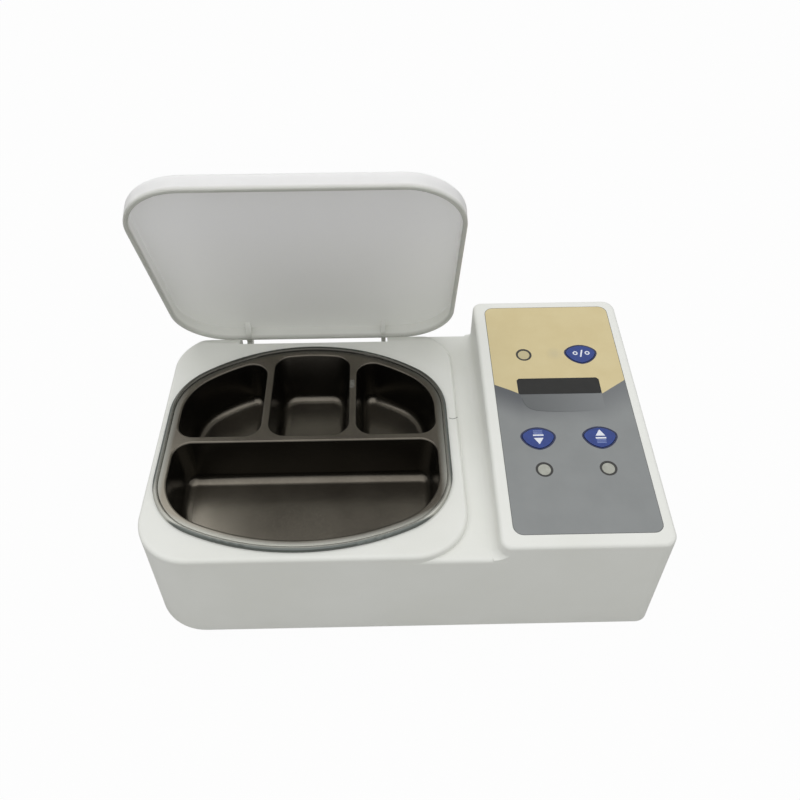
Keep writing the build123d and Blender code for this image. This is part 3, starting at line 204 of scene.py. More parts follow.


# pan: cast aluminium under a dark fluoropolymer coat filled with fine metal flake: a brown-grey metallic
# gloss, with painted shade on the steep walls. It is paler over the rolled rim, partly for the thin coat
# there and partly as painted reflection, and painted shade darkens the rim's outer edge

coating = {
    "deep": "#5A554D", "light": "#68635A", "patch": 26, "skinSize": 0.8, "skinDepth": 0.025,
    "gloss": 0.24, "glossSwing": (-0.03, 0.03), "metallic": 0.92,
    "flake": "#8A857A", "flakeSize": 0.6, "flakeFrom": 0.7, "flakeMost": 0.18,
    # painted shade on the steep walls
    "wall": "#34322D", "wallSlope": (0.3, 0.975), "wallMost": 0.9,  # the slope is 1 where the face is level
    # a painted reflection on the trough floor
    "fade": "#A39D90", "floorSheenSpot": (-104.0, -50.0), "floorSheenReach": 52.0, "floorSheenSlope": 0.8, "floorSheenMost": 0.75,
    # the rim: paler for its thin coat, with a painted reflection at the front and painted shade at the back
    "rim": "#B4B4AC", "rimBack": "#4E4D48", "rimTurn": (-60, 45), "rimWidth": (3.0, 5.6),
    # painted shade on the rim's outer side
    "edge": "#5E625F", "edgeShadeWidth": (0.9, 1.7),
    "backRadius": 94.44, "frontRadius": 118.71, "cornerBlend": 11.0,
}


# how far in from the pan's outline: the least of the distances from its two large arcs and its sides

def panInset(tree, flat, spec):
    low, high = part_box("wax_pan")
    middle = (low.x + high.x) / 2
    across = addNode(tree, "ShaderNodeSeparateXYZ", None, {0: flat})
    across = addNode(tree, "ShaderNodeMath", {"operation": "SUBTRACT"}, {0: across, 1: middle})
    across = addNode(tree, "ShaderNodeMath", {"operation": "ABSOLUTE"}, {0: across})
    inset = addNode(tree, "ShaderNodeMath", {"operation": "SUBTRACT"}, {0: (high.x - low.x) / 2, 1: across})
    back, front = spec["backRadius"] * mm, spec["frontRadius"] * mm
    for radius, centre in ((back, high.y - back), (front, low.y + front)):
        away = addNode(tree, "ShaderNodeVectorMath", {"operation": "DISTANCE"},
                       {0: flat, 1: (middle, centre, 0)}, "Value")
        away = addNode(tree, "ShaderNodeMath", {"operation": "SUBTRACT"}, {0: radius, 1: away})
        inset = addNode(tree, "ShaderNodeMath", {"operation": "SMOOTH_MIN"},
                        {0: inset, 1: away, 2: spec["cornerBlend"] * mm})
    return inset


def flakeShare(tree, place, spec):
    flakes = addNode(tree, "ShaderNodeTexVoronoi", {"feature": "F1"},
                     {"Vector": place, "Scale": 1000 / spec["flakeSize"]}, "Color")
    chance = addNode(tree, "ShaderNodeSeparateColor", None, {0: flakes})
    return addNode(tree, "ShaderNodeMapRange", None, {
        "Value": chance, "From Min": spec["flakeFrom"], "From Max": 1.0, "To Max": spec["flakeMost"]})


# painted reflection: the trough's floor is painted lighter towards its near left

def floorSheenShare(tree, flat, level, spec):
    spot = at(*spec["floorSheenSpot"])
    away = addNode(tree, "ShaderNodeVectorMath", {"operation": "DISTANCE"},
                   {0: flat, 1: (spot.x, spot.y, 0)}, "Value")
    near = addNode(tree, "ShaderNodeMapRange", {"interpolation_type": "SMOOTHSTEP"}, {
        "Value": away, "From Min": 0.0, "From Max": spec["floorSheenReach"] * mm,
        "To Min": spec["floorSheenMost"], "To Max": 0.0})
    onFloor = addNode(tree, "ShaderNodeMapRange", None, {
        "Value": level, "From Min": spec["floorSheenSlope"], "From Max": 1.0})
    return addNode(tree, "ShaderNodeMath", {"operation": "MULTIPLY"}, {0: near, 1: onFloor})


def nonStick(spec):
    material, tree, shader, place, coat = wornFinish(
        "flakedNonStickCoating", spec["deep"], spec["light"], spec["gloss"], spec["metallic"], spec["patch"],
        spec["skinSize"], spec["skinDepth"], swing=spec["glossSwing"])
    facing = addNode(tree, "ShaderNodeNewGeometry", out="Normal")
    level = addNode(tree, "ShaderNodeSeparateXYZ", None, {0: facing}, "Z")
    flat = addNode(tree, "ShaderNodeVectorMath", {"operation": "MULTIPLY"}, {0: place, 1: (1, 1, 0)})
    inset = panInset(tree, flat, spec)
    # painted shade: darker on the steep walls
    wallShadeShare = addNode(tree, "ShaderNodeMapRange", None, {
        "Value": level, "From Min": spec["wallSlope"][0], "From Max": spec["wallSlope"][1],
        "To Min": spec["wallMost"], "To Max": 0.0})
    # painted reflection: the rim turns from light at the front to painted shade at the back, where it
    # reflects the lid
    along = addNode(tree, "ShaderNodeSeparateXYZ", None, {0: flat}, "Y")
    turnedBack = addNode(tree, "ShaderNodeMapRange", None, {
        "Value": along, "From Min": at(0, spec["rimTurn"][0]).y, "From Max": at(0, spec["rimTurn"][1]).y})
    metal = addNode(tree, "ShaderNodeMix", rgba, {0: turnedBack, 6: spec["rim"], 7: spec["rimBack"]}, 2)
    # the rim's share, and painted shade along its outer edge
    onRim, onEdgeShade = (addNode(tree, "ShaderNodeMapRange", None, {
        **falling, "Value": inset, "From Min": first * mm, "From Max": last * mm,
    }) for first, last in (spec["rimWidth"], spec["edgeShadeWidth"]))
    # each layer covers those before it by its share
    for colour, share in ((spec["flake"], flakeShare(tree, place, spec)), (spec["wall"], wallShadeShare),
                          (spec["fade"], floorSheenShare(tree, flat, level, spec)), (metal, onRim),
                          (spec["edge"], onEdgeShade)):
        coat = addNode(tree, "ShaderNodeMix", rgba, {0: share, 6: coat, 7: colour}, 2)
    setInputs(tree, shader, {"Base Color": coat})
    return material


# plain finishes: name, colour, second colour, roughness, metallic, grain size and depth in mm

finishes = {
    "footRubber": ("#1B1B1B", "#262625", 0.75, 0.0, 0.5, 0.03),  # dull black, a little pitted
    "zincPlatedSteel": ("#B4B5B6", "#9EA0A3", 0.34, 1.0, 0.8, 0.01),  # bright and faintly clouded
    "groundSteel": ("#B9B9BA", "#A5A5A7", 0.32, 1.0, 0.4, 0.01),  # bright and even
    "naturalNylon": ("#D8D5C6", "#CCC8B6", 0.5, 0.0, 1.2, 0.01),  # waxy and cream
    "siliconeRubber": ("#3A3A39", "#2E2E2D", 0.6, 0.0, 0.8, 0.02),  # soft dark grey
    "millAluminium": ("#C3C4C6", "#AEB0B3", 0.38, 1.0, 0.5, 0.012),  # pale, satin, as rolled
    "drawnNickelSleeve": ("#A9A8A4", "#96948F", 0.32, 1.0, 0.5, 0.01),  # warm grey satin
    "mouldedNylonBlack": ("#161616", "#1F1F1F", 0.5, 0.0, 0.5, 0.02),  # satin black
    "mouldedEpoxyBlack": ("#141415", "#1D1D1E", 0.55, 0.0, 0.4, 0.02),  # matt black, as on chips
    "tinnedSteel": ("#B5B3AB", "#9D9B93", 0.36, 1.0, 0.6, 0.01),  # warm silver
    "relayCasePbt": ("#1F4C93", "#1A4180", 0.4, 0.0, 0.8, 0.01),  # satin blue
    "capacitorCasePbt": ("#D2A92E", "#C49B25", 0.42, 0.0, 0.8, 0.01),  # satin yellow
    "terminalNylonGreen": ("#2C8048", "#25703E", 0.45, 0.0, 0.8, 0.01),  # satin green
    "tinnedBrass": ("#C9B06A", "#B79C54", 0.33, 1.0, 0.5, 0.01),  # pale brass
    "switchNylonBlack": ("#121212", "#191919", 0.33, 0.0, 0.6, 0.01),  # glossier black
    "siliconeWireWhite": ("#D9D8D2", "#C9C7BF", 0.55, 0.0, 2.0, 0.02),  # dull white sleeve
    "pvcWireBlack": ("#1A1A1A", "#232323", 0.45, 0.0, 2.0, 0.02),  # smooth black sleeve
}
plain = {}
for name, (colour, shade, roughness, metallic, grain, depth) in finishes.items():
    plain[name] = wornFinish(name, colour, shade, roughness, metallic, grain=grain, depth=depth)[0]


# etched polyimide heater film: glossy amber, with the darker heating track showing through. A wave texture
# has a band every pi / 10 at scale 1, and spacings are in mm

heaterFoil = {"film": "#B5651D", "track": "#7A3F12", "spacing": 7.854, "trackEdge": (0.45, 0.55),
              "depth": 0.05}


def heaterFilm(spec):
    material, tree, shader, place = startMaterial("polyimideFilm", spec["film"], 0.25, 1.7)
    track = addNode(tree, "ShaderNodeTexWave", {"wave_type": "BANDS", "bands_direction": "Y"},
                    {"Vector": place, "Scale": pi / 10 / (spec["spacing"] * mm)}, "Fac")
    first, last = spec["trackEdge"]
    lines = addNode(tree, "ShaderNodeMapRange", None, {"Value": track, "From Min": first, "From Max": last})
    patterned(tree, shader, track, lines, spec["film"], spec["track"], spec["depth"])
    return material


# needled glass fibre: dull matted white fibres, about 0.1 mm thick, drawn coarser so that they show

fibreMat = {"deep": "#CFCAB9", "light": "#EFECE1", "size": 1.2, "drawnOut": 0.25, "depth": 0.4}


def glassFibre(spec):
    material, tree, shader, place = startMaterial("needledGlassFibre", spec["light"], 0.95)
    drawn = addNode(tree, "ShaderNodeMapping", None, {"Vector": place, "Scale": (1.0, spec["drawnOut"], 1.0)})
    fibres = addNode(tree, "ShaderNodeTexNoise", None, {
        "Vector": drawn, "Scale": 1000 / spec["size"], "Detail": 6.0, "Roughness": 0.7})
    spread = addNode(tree, "ShaderNodeMapRange", None, {**clearSpan, "Value": fibres})
    patterned(tree, shader, fibres, spread, spec["deep"], spec["light"], spec["depth"])
    return material


# circuit board: glass fibre laminate under glossy green solder mask, with tracks a little lighter

boardMask = {"mask": "#0D5430", "track": "#1F7A49", "pitch": 9, "trackEdge": (0.05, 0.09), "depth": 0.04}


def circuitBoard(spec):
    material, tree, shader, place = startMaterial("solderMaskLaminate", spec["mask"], 0.3, 1.55)
    cells = addNode(tree, "ShaderNodeTexVoronoi", {"feature": "DISTANCE_TO_EDGE", "distance": "MANHATTAN"},
                    {"Vector": place, "Scale": 1000 / spec["pitch"]}, "Distance")
    first, last = spec["trackEdge"]
    tracks = addNode(tree, "ShaderNodeMapRange", None, {
        **falling, "Value": cells, "From Min": first, "From Max": last})
    patterned(tree, shader, tracks, tracks, spec["mask"], spec["track"], spec["depth"])
    return material


# bands along one direction: the transformer's varnished sheets (0.5 mm thick, drawn 1 mm apart so that they
# show) and the ribbon cable's wires, 1.27 mm apart, each a rib in the grey PVC

def banded(name, dark, light, roughness, direction, spacing, depth):
    material, tree, shader, place = startMaterial(name, light, roughness, 1.52)
    bands = addNode(tree, "ShaderNodeTexWave", {"wave_type": "BANDS", "bands_direction": direction},
                    {"Vector": place, "Scale": pi / 10 / (spacing * mm)}, "Fac")
    patterned(tree, shader, bands, bands, dark, light, depth)
    return material


laminations = banded("varnishedLaminations", "#332B24", "#6B5D4E", 0.35, "Z", 1.0, 0.1)
ribbonPvc = banded("ribbonPvc", "#6F7070", "#9A9B9B", 0.5, "X", 1.27, 0.2)


# clear parts: a window of smoked acrylic, so dark that the display behind it doesn't show, epoxy LED lenses,
# and the fuse's glass tube. The haze has a size in mm, and adds to the roughness

smokedAcrylic = wornFinish("smokedAcrylic", "#151513", "#181816", 0.33, patch=4, grain=0.8, depth=0.003,
                           ior=1.4)[0]


def clearMoulding(name, colour, roughness, ior, clear, hazeSize, haze=0.06):
    material, tree, shader, place = startMaterial(name, colour, roughness, ior)
    cloud = addNode(tree, "ShaderNodeTexNoise", None, {"Vector": place, "Scale": 1000 / hazeSize})
    gloss = addNode(tree, "ShaderNodeMapRange", None, {
        **softSpan, "Value": cloud, "To Min": roughness, "To Max": roughness + haze})
    setInputs(tree, shader, {"Transmission Weight": clear, "Roughness": gloss})
    return material


clearEpoxy = clearMoulding("clearEpoxy", "#EDEBD8", 0.15, 1.5, 0.6, 2)
fuseGlass = clearMoulding("sodaLimeGlass", "#E8EEEE", 0.04, 1.52, 0.85, 6)


# indicator windows: frosted acrylic, golden at the back one and grey at the front two

def frostedWindows():
    material, tree, shader, place, grey = wornFinish(
        "frostedAcrylic", "#9FA096", "#ACADA3", 0.35, patch=2.5, depth=0.003, ior=1.49)
    side = addNode(tree, "ShaderNodeSeparateXYZ", None, {0: place}, "Y")
    back = addNode(tree, "ShaderNodeMath", {"operation": "GREATER_THAN"}, {0: side, 1: origin.y})
    tone = addNode(tree, "ShaderNodeMix", rgba, {0: back, 6: grey, 7: "#BFB38B"}, 2)
    setInputs(tree, shader, {"Base Color": tone})
    return material


# keys: glossy blue moulded ABS

keyBlue = wornFinish("glossMouldedAbsBlue", "#0F2F78", "#153784", 0.33, patch=3, depth=0.006, ior=1.53)[0]


# screen-printed polyester film: flat ink under a fine matt lacquer. The grey is darker along the edge
# where it meets the gold, more at the left, and fades out below. Lines over the film are in mm, x and y

lacquer = {"patch": 14, "grain": 0.35, "depth": 0.006}
greyTone = {
    "plain": "#868989", "shade": "#828585", "dark": "#53565A", "darkRight": "#6C6F71", "turn": (60, 104),
    "left": (48.4, 16.0), "right": (114.3, 17.7), "notch": (59.8, 101.0), "low": 9.8, "length": 21.0,
}
# the apron's right colour is a painted sheen
apronTone = {"plain": "#5F6263", "shade": "#5B5E5F", "right": "#787B7C", "turn": (66, 103)}
goldTone = {"plain": "#D3C496", "shade": "#CFBF90",
            "worn": "#B7AF93", "wornSpot": (81.6, 36.0, 74.8), "wornReach": (1.0, 4.8), "wornMost": 0.35}


# how far a print has turned to its tone at the right

def turnRight(tree, across, spec):
    first, last = (at(x, 0).x for x in spec["turn"])
    return addNode(tree, "ShaderNodeMapRange", None, {"Value": across, "From Min": first, "From Max": last})


def greyPrint(spec):
    material, tree, shader, place, colour = wornFinish(
        "greyPolyesterPrint", spec["plain"], spec["shade"], 0.36, **lacquer)
    across = addNode(tree, "ShaderNodeSeparateXYZ", None, {0: place}, "X")
    along = addNode(tree, "ShaderNodeSeparateXYZ", None, {0: place}, "Y")
    # the edge falls from both sides to the window's lower corners
    (leftX, leftY), (rightX, rightY), (leftEnd, rightEnd) = spec["left"], spec["right"], spec["notch"]
    falls = []
    for x0, x1, y0, y1 in ((leftX, leftEnd, leftY, spec["low"]), (rightEnd, rightX, spec["low"], rightY)):
        start, end = at(x0, y0), at(x1, y1)
        falls.append(addNode(tree, "ShaderNodeMapRange", None, {
            "Value": across, "From Min": start.x, "From Max": end.x, "To Min": start.y, "To Max": end.y}))
    edge = addNode(tree, "ShaderNodeMath", {"operation": "MAXIMUM"}, {0: falls[0], 1: falls[1]})
    below = addNode(tree, "ShaderNodeMath", {"operation": "SUBTRACT"}, {0: edge, 1: along})
    fade = addNode(tree, "ShaderNodeMapRange", {"interpolation_type": "SMOOTHSTEP"}, {
        **falling, "Value": below, "From Min": 0.0, "From Max": spec["length"] * mm})
    dark = addNode(tree, "ShaderNodeMix", rgba, {
        0: turnRight(tree, across, spec), 6: spec["dark"], 7: spec["darkRight"]}, 2)
    tone = addNode(tree, "ShaderNodeMix", rgba, {0: fade, 6: colour, 7: dark}, 2)
    setInputs(tree, shader, {"Base Color": tone})
    return material


# a low window shape under the display, a little darker than the print around it, with a painted sheen that
# lightens it towards the right

def apronPrint(spec):
    material, tree, shader, place, colour = wornFinish(
        "shadedPolyesterPrint", spec["plain"], spec["shade"], 0.36, **lacquer)
    across = addNode(tree, "ShaderNodeSeparateXYZ", None, {0: place}, "X")
    # painted sheen, lighter towards the right
    tone = addNode(tree, "ShaderNodeMix", rgba, {
        0: turnRight(tree, across, spec), 6: colour, 7: spec["right"]}, 2)
    setInputs(tree, shader, {"Base Color": tone})
    return material


# gold print, with a faint worn spot between the window and the key

def goldPrint(spec):
    material, tree, shader, place, colour = wornFinish(
        "goldPolyesterPrint", spec["plain"], spec["shade"], 0.36, **lacquer)
    away = addNode(tree, "ShaderNodeVectorMath", {"operation": "DISTANCE"},
                   {0: place, 1: at(*spec["wornSpot"])}, "Value")
    first, last = spec["wornReach"]
    worn = addNode(tree, "ShaderNodeMapRange", None, {
        "Value": away, "From Min": first * mm, "From Max": last * mm,
        "To Min": spec["wornMost"], "To Max": 0.0})
    tone = addNode(tree, "ShaderNodeMix", rgba, {0: worn, 6: colour, 7: spec["worn"]}, 2)
    setInputs(tree, shader, {"Base Color": tone})
    return material


goldInk = goldPrint(goldTone)
greyInk = greyPrint(greyTone)
apronInk = apronPrint(apronTone)
inks = {
    "darkGreyPolyesterPrint": ("#56595A", "#505354", 14), "blackPolyesterPrint": ("#262624", "#2E2D2A", 14),
    "navyPolyesterPrint": ("#141D45", "#18234F", 14), "whitePadPrint": ("#E6E9F0", "#DCE0EA", 3),
    "thinWhitePadPrint": ("#8696C6", "#7A8ABE", 3),
}
ink = {name: wornFinish(name, colour, shade, 0.38, **{**lacquer, "patch": patch})[0]
       for name, (colour, shade, patch) in inks.items()}
print("materials made")


# the CAD pieces and what each is made of

madeOf = {
    "upper_housing": housingAbs, "base_plate": baseAbs, "lid": lidPlastic(lidFinish),
    "wax_pan": nonStick(coating), "pan_gasket": plain["siliconeRubber"],
    "friction_washers": plain["naturalNylon"], "hinge_pins": plain["groundSteel"],
    "heater_pad": heaterFilm(heaterFoil), "insulation_blanket": glassFibre(fibreMat),
    "clamp_plate": plain["millAluminium"], "sensor_clip": plain["millAluminium"],
    "cutout_clip": plain["millAluminium"], "thermistor": plain["drawnNickelSleeve"],
    "thermal_cutout": plain["mouldedEpoxyBlack"], "panel_film": ink["darkGreyPolyesterPrint"],
    "display_window": smokedAcrylic, "light_pipes": frostedWindows(),
    "tact_switches": plain["tinnedSteel"], "display_module": plain["mouldedEpoxyBlack"],
    "indicator_leds": clearEpoxy, "controller_chip": plain["mouldedEpoxyBlack"],
    "control_parts": plain["mouldedEpoxyBlack"], "ribbon_sockets": plain["mouldedNylonBlack"],
    "ribbon_cable": ribbonPvc, "transformer": laminations, "relay": plain["relayCasePbt"],
    "suppression_capacitor": plain["capacitorCasePbt"], "fuse": fuseGlass,
    "fuse_clips": plain["tinnedBrass"], "terminal_block": plain["terminalNylonGreen"],
    "mains_inlet": plain["mouldedNylonBlack"], "inlet_pins": plain["tinnedBrass"],
    "switch_frame": plain["switchNylonBlack"], "switch_rocker": plain["switchNylonBlack"],
    "switch_tabs": plain["tinnedBrass"], "heater_leads": plain["siliconeWireWhite"],
    "cutout_leads": plain["siliconeWireWhite"], "sensor_lead": plain["pvcWireBlack"],
    "mains_leads": plain["pvcWireBlack"],
}
board = circuitBoard(boardMask)
for name in nodes:
    if name.startswith("foot_"):
        madeOf[name] = plain["footRubber"]
    elif name.startswith("key_"):
        madeOf[name] = keyBlue
    elif name.startswith("plunger_"):
        madeOf[name] = plain["mouldedNylonBlack"]
    elif name.endswith("screws"):
        madeOf[name] = plain["zincPlatedSteel"]
    elif name.endswith("_board"):
        madeOf[name] = board
for name, node in nodes.items():
    node.data.materials.clear()
    node.data.materials.append(madeOf[name])
print("CAD pieces dressed:", len(nodes))


# screws: cross-recessed pan heads in place of the plain ones, one at each, turned as they happened to stop.
# The sizes are in mm, and each screw's place and direction are read from its own solid

screwSizes = {"Head Radius": 2.7, "Head Height": 1.6, "Shank Radius": 1.4, "Length": 8.0,
              "Slot Length": 3.1, "Slot Width": 0.75, "Slot Depth": 0.9}
screwMesh = {"headSides": 28, "headRings": 16, "shankSides": 20, "headFullness": 0.55}
screwHeads = {"base_screws": (0, 0, -1), "clamp_screws": (0, 0, -1), "control_board_screws": (0, 0, -1),
              "power_board_screws": (0, 0, 1), "inlet_screws": (0, 1, 0)}
screwSeed = 7
screwReading = {"weld": 0.001, "endSlice": 0.3}  # what is this near to a screw's end is part of that end


def screwTree():
    tree = bpy.data.node_groups.new("panHeadScrews", "GeometryNodeTree")
    tree.is_modifier = True
    tree.interface.new_socket("Geometry", in_out="INPUT", socket_type="NodeSocketGeometry")
    for name, value in screwSizes.items():
        size = tree.interface.new_socket(name, in_out="INPUT", socket_type="NodeSocketFloat")
        size.default_value = value * mm
    tree.interface.new_socket("Seed", in_out="INPUT", socket_type="NodeSocketInt").default_value = screwSeed
    tree.interface.new_socket("Material", in_out="INPUT", socket_type="NodeSocketMaterial")
    tree.interface.new_socket("Geometry", in_out="OUTPUT", socket_type="NodeSocketGeometry")
    given = tree.nodes.new("NodeGroupInput").outputs
    # head: a ball with its lower half pressed flat and its upper half filled out towards a pan shape
    ball = addNode(tree, "GeometryNodeMeshUVSphere", None, {
        "Segments": screwMesh["headSides"], "Rings": screwMesh["headRings"], "Radius": given["Head Radius"]})
    here = addNode(tree, "GeometryNodeInputPosition")
    x, y, z = (addNode(tree, "ShaderNodeSeparateXYZ", None, {0: here}, axis) for axis in "XYZ")
    share = addNode(tree, "ShaderNodeMath", {"operation": "DIVIDE", "use_clamp": True},
                    {0: z, 1: given["Head Radius"]})
    full = addNode(tree, "ShaderNodeMath", {"operation": "POWER"}, {0: share, 1: screwMesh["headFullness"]})
    tall = addNode(tree, "ShaderNodeMath", {"operation": "MULTIPLY"}, {0: full, 1: given["Head Height"]})
    pressed = addNode(tree, "ShaderNodeCombineXYZ", None, {"X": x, "Y": y, "Z": tall})
    head = addNode(tree, "GeometryNodeSetPosition", None, {"Geometry": ball, "Position": pressed})
    # cross recess
    deep = addNode(tree, "ShaderNodeMath", {"operation": "MULTIPLY"}, {0: given["Slot Depth"], 1: 2.0})
    top = addNode(tree, "ShaderNodeCombineXYZ", None, {"Z": given["Head Height"]})
    for turn in (0, pi / 2):
        size = addNode(tree, "ShaderNodeCombineXYZ", None, {
            "X": given["Slot Length"], "Y": given["Slot Width"], "Z": deep})
        slot = addNode(tree, "GeometryNodeMeshCube", None, {"Size": size})
        slot = addNode(tree, "GeometryNodeTransform", None, {
            "Geometry": slot, "Translation": top, "Rotation": (0, 0, turn)})
        head = addNode(tree, "GeometryNodeMeshBoolean", {"operation": "DIFFERENCE", "solver": "EXACT"},
                       {"Mesh 1": head, "Mesh 2": slot})
    shank = addNode(tree, "GeometryNodeMeshCylinder", None, {
        "Vertices": screwMesh["shankSides"], "Radius": given["Shank Radius"], "Depth": given["Length"]})
    half = addNode(tree, "ShaderNodeMath", {"operation": "MULTIPLY"}, {0: given["Length"], 1: -0.5})
    shank = addNode(tree, "GeometryNodeTransform", None, {
        "Geometry": shank, "Translation": addNode(tree, "ShaderNodeCombineXYZ", None, {"Z": half})})
    join = tree.nodes.new("GeometryNodeJoinGeometry")
    tree.links.new(head, join.inputs[0])
    tree.links.new(shank, join.inputs[0])
    # one screw on each point, its head to the side that the point names
    out = addNode(tree, "GeometryNodeInputNamedAttribute", {"data_type": "FLOAT_VECTOR"},
                  {"Name": "headSide"})
    upright = addNode(tree, "FunctionNodeAlignRotationToVector", {"axis": "Z"}, {"Vector": out})
    screws = addNode(tree, "GeometryNodeInstanceOnPoints", None, {
        "Points": given["Geometry"], "Instance": join.outputs[0], "Rotation": upright})
    stop = addNode(tree, "FunctionNodeRandomValue", {"data_type": "FLOAT"},
                   {2: 0.0, 3: pi / 2, "Seed": given["Seed"]}, 1)
    turned = addNode(tree, "ShaderNodeCombineXYZ", None, {"Z": stop})
    screws = addNode(tree, "GeometryNodeRotateInstances", None, {
        "Instances": screws, "Local Space": True, "Rotation": turned})
    screws = addNode(tree, "GeometryNodeRealizeInstances", None, {"Geometry": screws})
    screws = addNode(tree, "GeometryNodeSetMaterial", None, {
        "Geometry": screws, "Material": given["Material"]})
    addNode(tree, "NodeGroupOutput", None, {0: screws})
    return tree


# where each screw of a node sits: the middle of the underside of its head, the way its head faces, and its
# whole length. The points of a screw are taken in their own order, so that each run adds them up alike

def screwPlaces(nodeName, side):
    mesh = bmesh.new()
    mesh.from_mesh(nodes[nodeName].data)
    bmesh.ops.remove_doubles(mesh, verts=mesh.verts, dist=screwReading["weld"] * mm)
    mesh.verts.index_update()
    nearEnd = screwReading["endSlice"] * mm
    left, places = set(mesh.verts), []
    while left:
        edge = [left.pop()]
        part = list(edge)
        while edge:
            near = {e.other_vert(v) for v in edge for e in v.link_edges} & left
            left -= near
            edge = list(near)
            part += edge
        part.sort(key=lambda v: v.index)
        along = [v.co.dot(side) for v in part]
        ends = []
        for limit in (max(along), min(along)):
            cap = [v.co for v, value in zip(part, along) if abs(value - limit) < nearEnd]
            ends.append(sum(cap, Vector()) / len(cap))
        reach = ends[0] - ends[1]
        facing = reach.normalized()
        places.append((ends[0] - facing * screwSizes["Head Height"] * mm, facing, reach.length))
    mesh.free()
    return places


def placeScrews(tree, nodeName, side):
    places = sorted(screwPlaces(nodeName, Vector(side)), key=lambda place: tuple(place[0]))
    mesh = bpy.data.meshes.new(nodeName + "Places")
    mesh.from_pydata([place for place, facing, reach in places], [], [])
    headSide = mesh.attributes.new("headSide", "FLOAT_VECTOR", "POINT")
    for index, (place, facing, reach) in enumerate(places):
        headSide.data[index].vector = facing
    holder = bpy.data.objects.new(nodeName + "Holder", mesh)
    bpy.context.scene.collection.objects.link(holder)
    modifier = holder.modifiers.new("screws", "NODES")
    modifier.node_group = tree
    sockets = {item.name: item.identifier for item in tree.interface.items_tree if item.in_out == "INPUT"}
    for name, value in screwSizes.items():
        modifier[sockets[name]] = value * mm
    modifier[sockets["Length"]] = places[0][2] - screwSizes["Head Height"] * mm
    modifier[sockets["Seed"]] = screwSeed
    modifier[sockets["Material"]] = plain["zincPlatedSteel"]
    piece = settled(holder, nodeName + "PanHead")
    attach(piece, "housing")
    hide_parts(nodeName)
    return len(places)


# a holder's shape as it comes out of its modifiers, made into a plain piece

def settled(holder, name):
    bpy.context.view_layer.update()
    mesh = bpy.data.meshes.new_from_object(holder.evaluated_get(bpy.context.evaluated_depsgraph_get()))
    mesh.name = name
    bpy.data.objects.remove(holder)
    piece = bpy.data.objects.new(name, mesh)
    bpy.context.scene.collection.objects.link(piece)
    return piece


panHeads = screwTree()
print("screws placed:", {name: placeScrews(panHeads, name, side) for name, side in screwHeads.items()})


# panel prints: flat shapes a hair above the film or above a key. Each further layer of ink lies one lift
# higher. The slope is in degrees, and the height is the panel's at y = 0

panel = {"slope": 5.564, "height": 71.255, "lift": 0.02, "keyLift": 0.37}


# the planes that prints lie on: the sloped panel, and a level one

def panelPlane(rise):
    slope = radians(panel["slope"])
    place = at(0, -rise * sin(slope), panel["height"] + rise * cos(slope))
    return Matrix.Translation(place) @ Matrix.Rotation(slope, 4, "X")


def levelPlane(height):
    return Matrix.Translation(at(0, 0, height))


# a point's place over the panel: across it, up it, and out from it

def toPanel(point):
    slope = radians(panel["slope"])
    offset = (point - origin) / mm
    z = offset.z - panel["height"]
    return offset.x, offset.y * cos(slope) + z * sin(slope), z * cos(slope) - offset.y * sin(slope)


def flatShape(name, loops, plane, material, body="housing"):
    curve = bpy.data.curves.new(name, "CURVE")
    curve.dimensions = "2D"
    curve.fill_mode = "BOTH"
    for loop in loops:
        spline = curve.splines.new("POLY")
        spline.points.add(len(loop) - 1)
        for point, (x, v) in zip(spline.points, loop):
            point.co = (x, v, 0, 1)
        spline.use_cyclic_u = True
    holder = bpy.data.objects.new(name + "Curve", curve)
    bpy.context.scene.collection.objects.link(holder)
    piece = settled(holder, name)
    piece.data.transform(plane @ Matrix.Scale(mm, 4))
    piece.data.materials.clear()
    piece.data.materials.append(material)
    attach(piece, body)


def roundedBox(x0, x1, v0, v1, radius, steps=8):
    loop = []
    for cx, cv, start in ((x1 - radius, v1 - radius, 0), (x0 + radius, v1 - radius, 90),
                          (x0 + radius, v0 + radius, 180), (x1 - radius, v0 + radius, 270)):
        for step in range(steps + 1):
            angle = radians(start + 90 * step / steps)
            loop.append((cx + radius * cos(angle), cv + radius * sin(angle)))
    return loop


def ring(x, v, radius, steps=40):
    angles = [2 * pi * i / steps for i in range(steps)]
    return [(x + radius * cos(angle), v + radius * sin(angle)) for angle in angles]


def bar(cx, cv, width, height, lean=0.0):
    half, tall = width / 2, height / 2
    return [(cx - half - lean, cv - tall), (cx + half - lean, cv - tall),
            (cx + half + lean, cv + tall), (cx - half + lean, cv + tall)]


# a key's outline where its cap passes the film, grown outwards

atFilm = (-0.5, 0.15)  # out from the panel


def keyLoop(nodeName, grow):
    points = [toPanel(vertex.co) for vertex in nodes[nodeName].data.vertices]
    side = {(round(x, 2), round(v, 2)) for x, v, rise in points if atFilm[0] < rise < atFilm[1]}
    cx = sum(x for x, v in side) / len(side)
    cv = sum(v for x, v in side) / len(side)
    loop = sorted(side, key=lambda p: atan2(p[1] - cv, p[0] - cx))
    grown = []
    for i, (x, v) in enumerate(loop):
        (x0, v0), (x1, v1) = loop[i - 1], loop[(i + 1) % len(loop)]
        normal = Vector((v1 - v0, x0 - x1)).normalized()
        grown.append((x + normal.x * grow, v + normal.y * grow))
    return grown


# film: gold above and grey below. They meet along a line that runs down from both sides to the display's
# lower corners, and the notch and the sill leave its window free

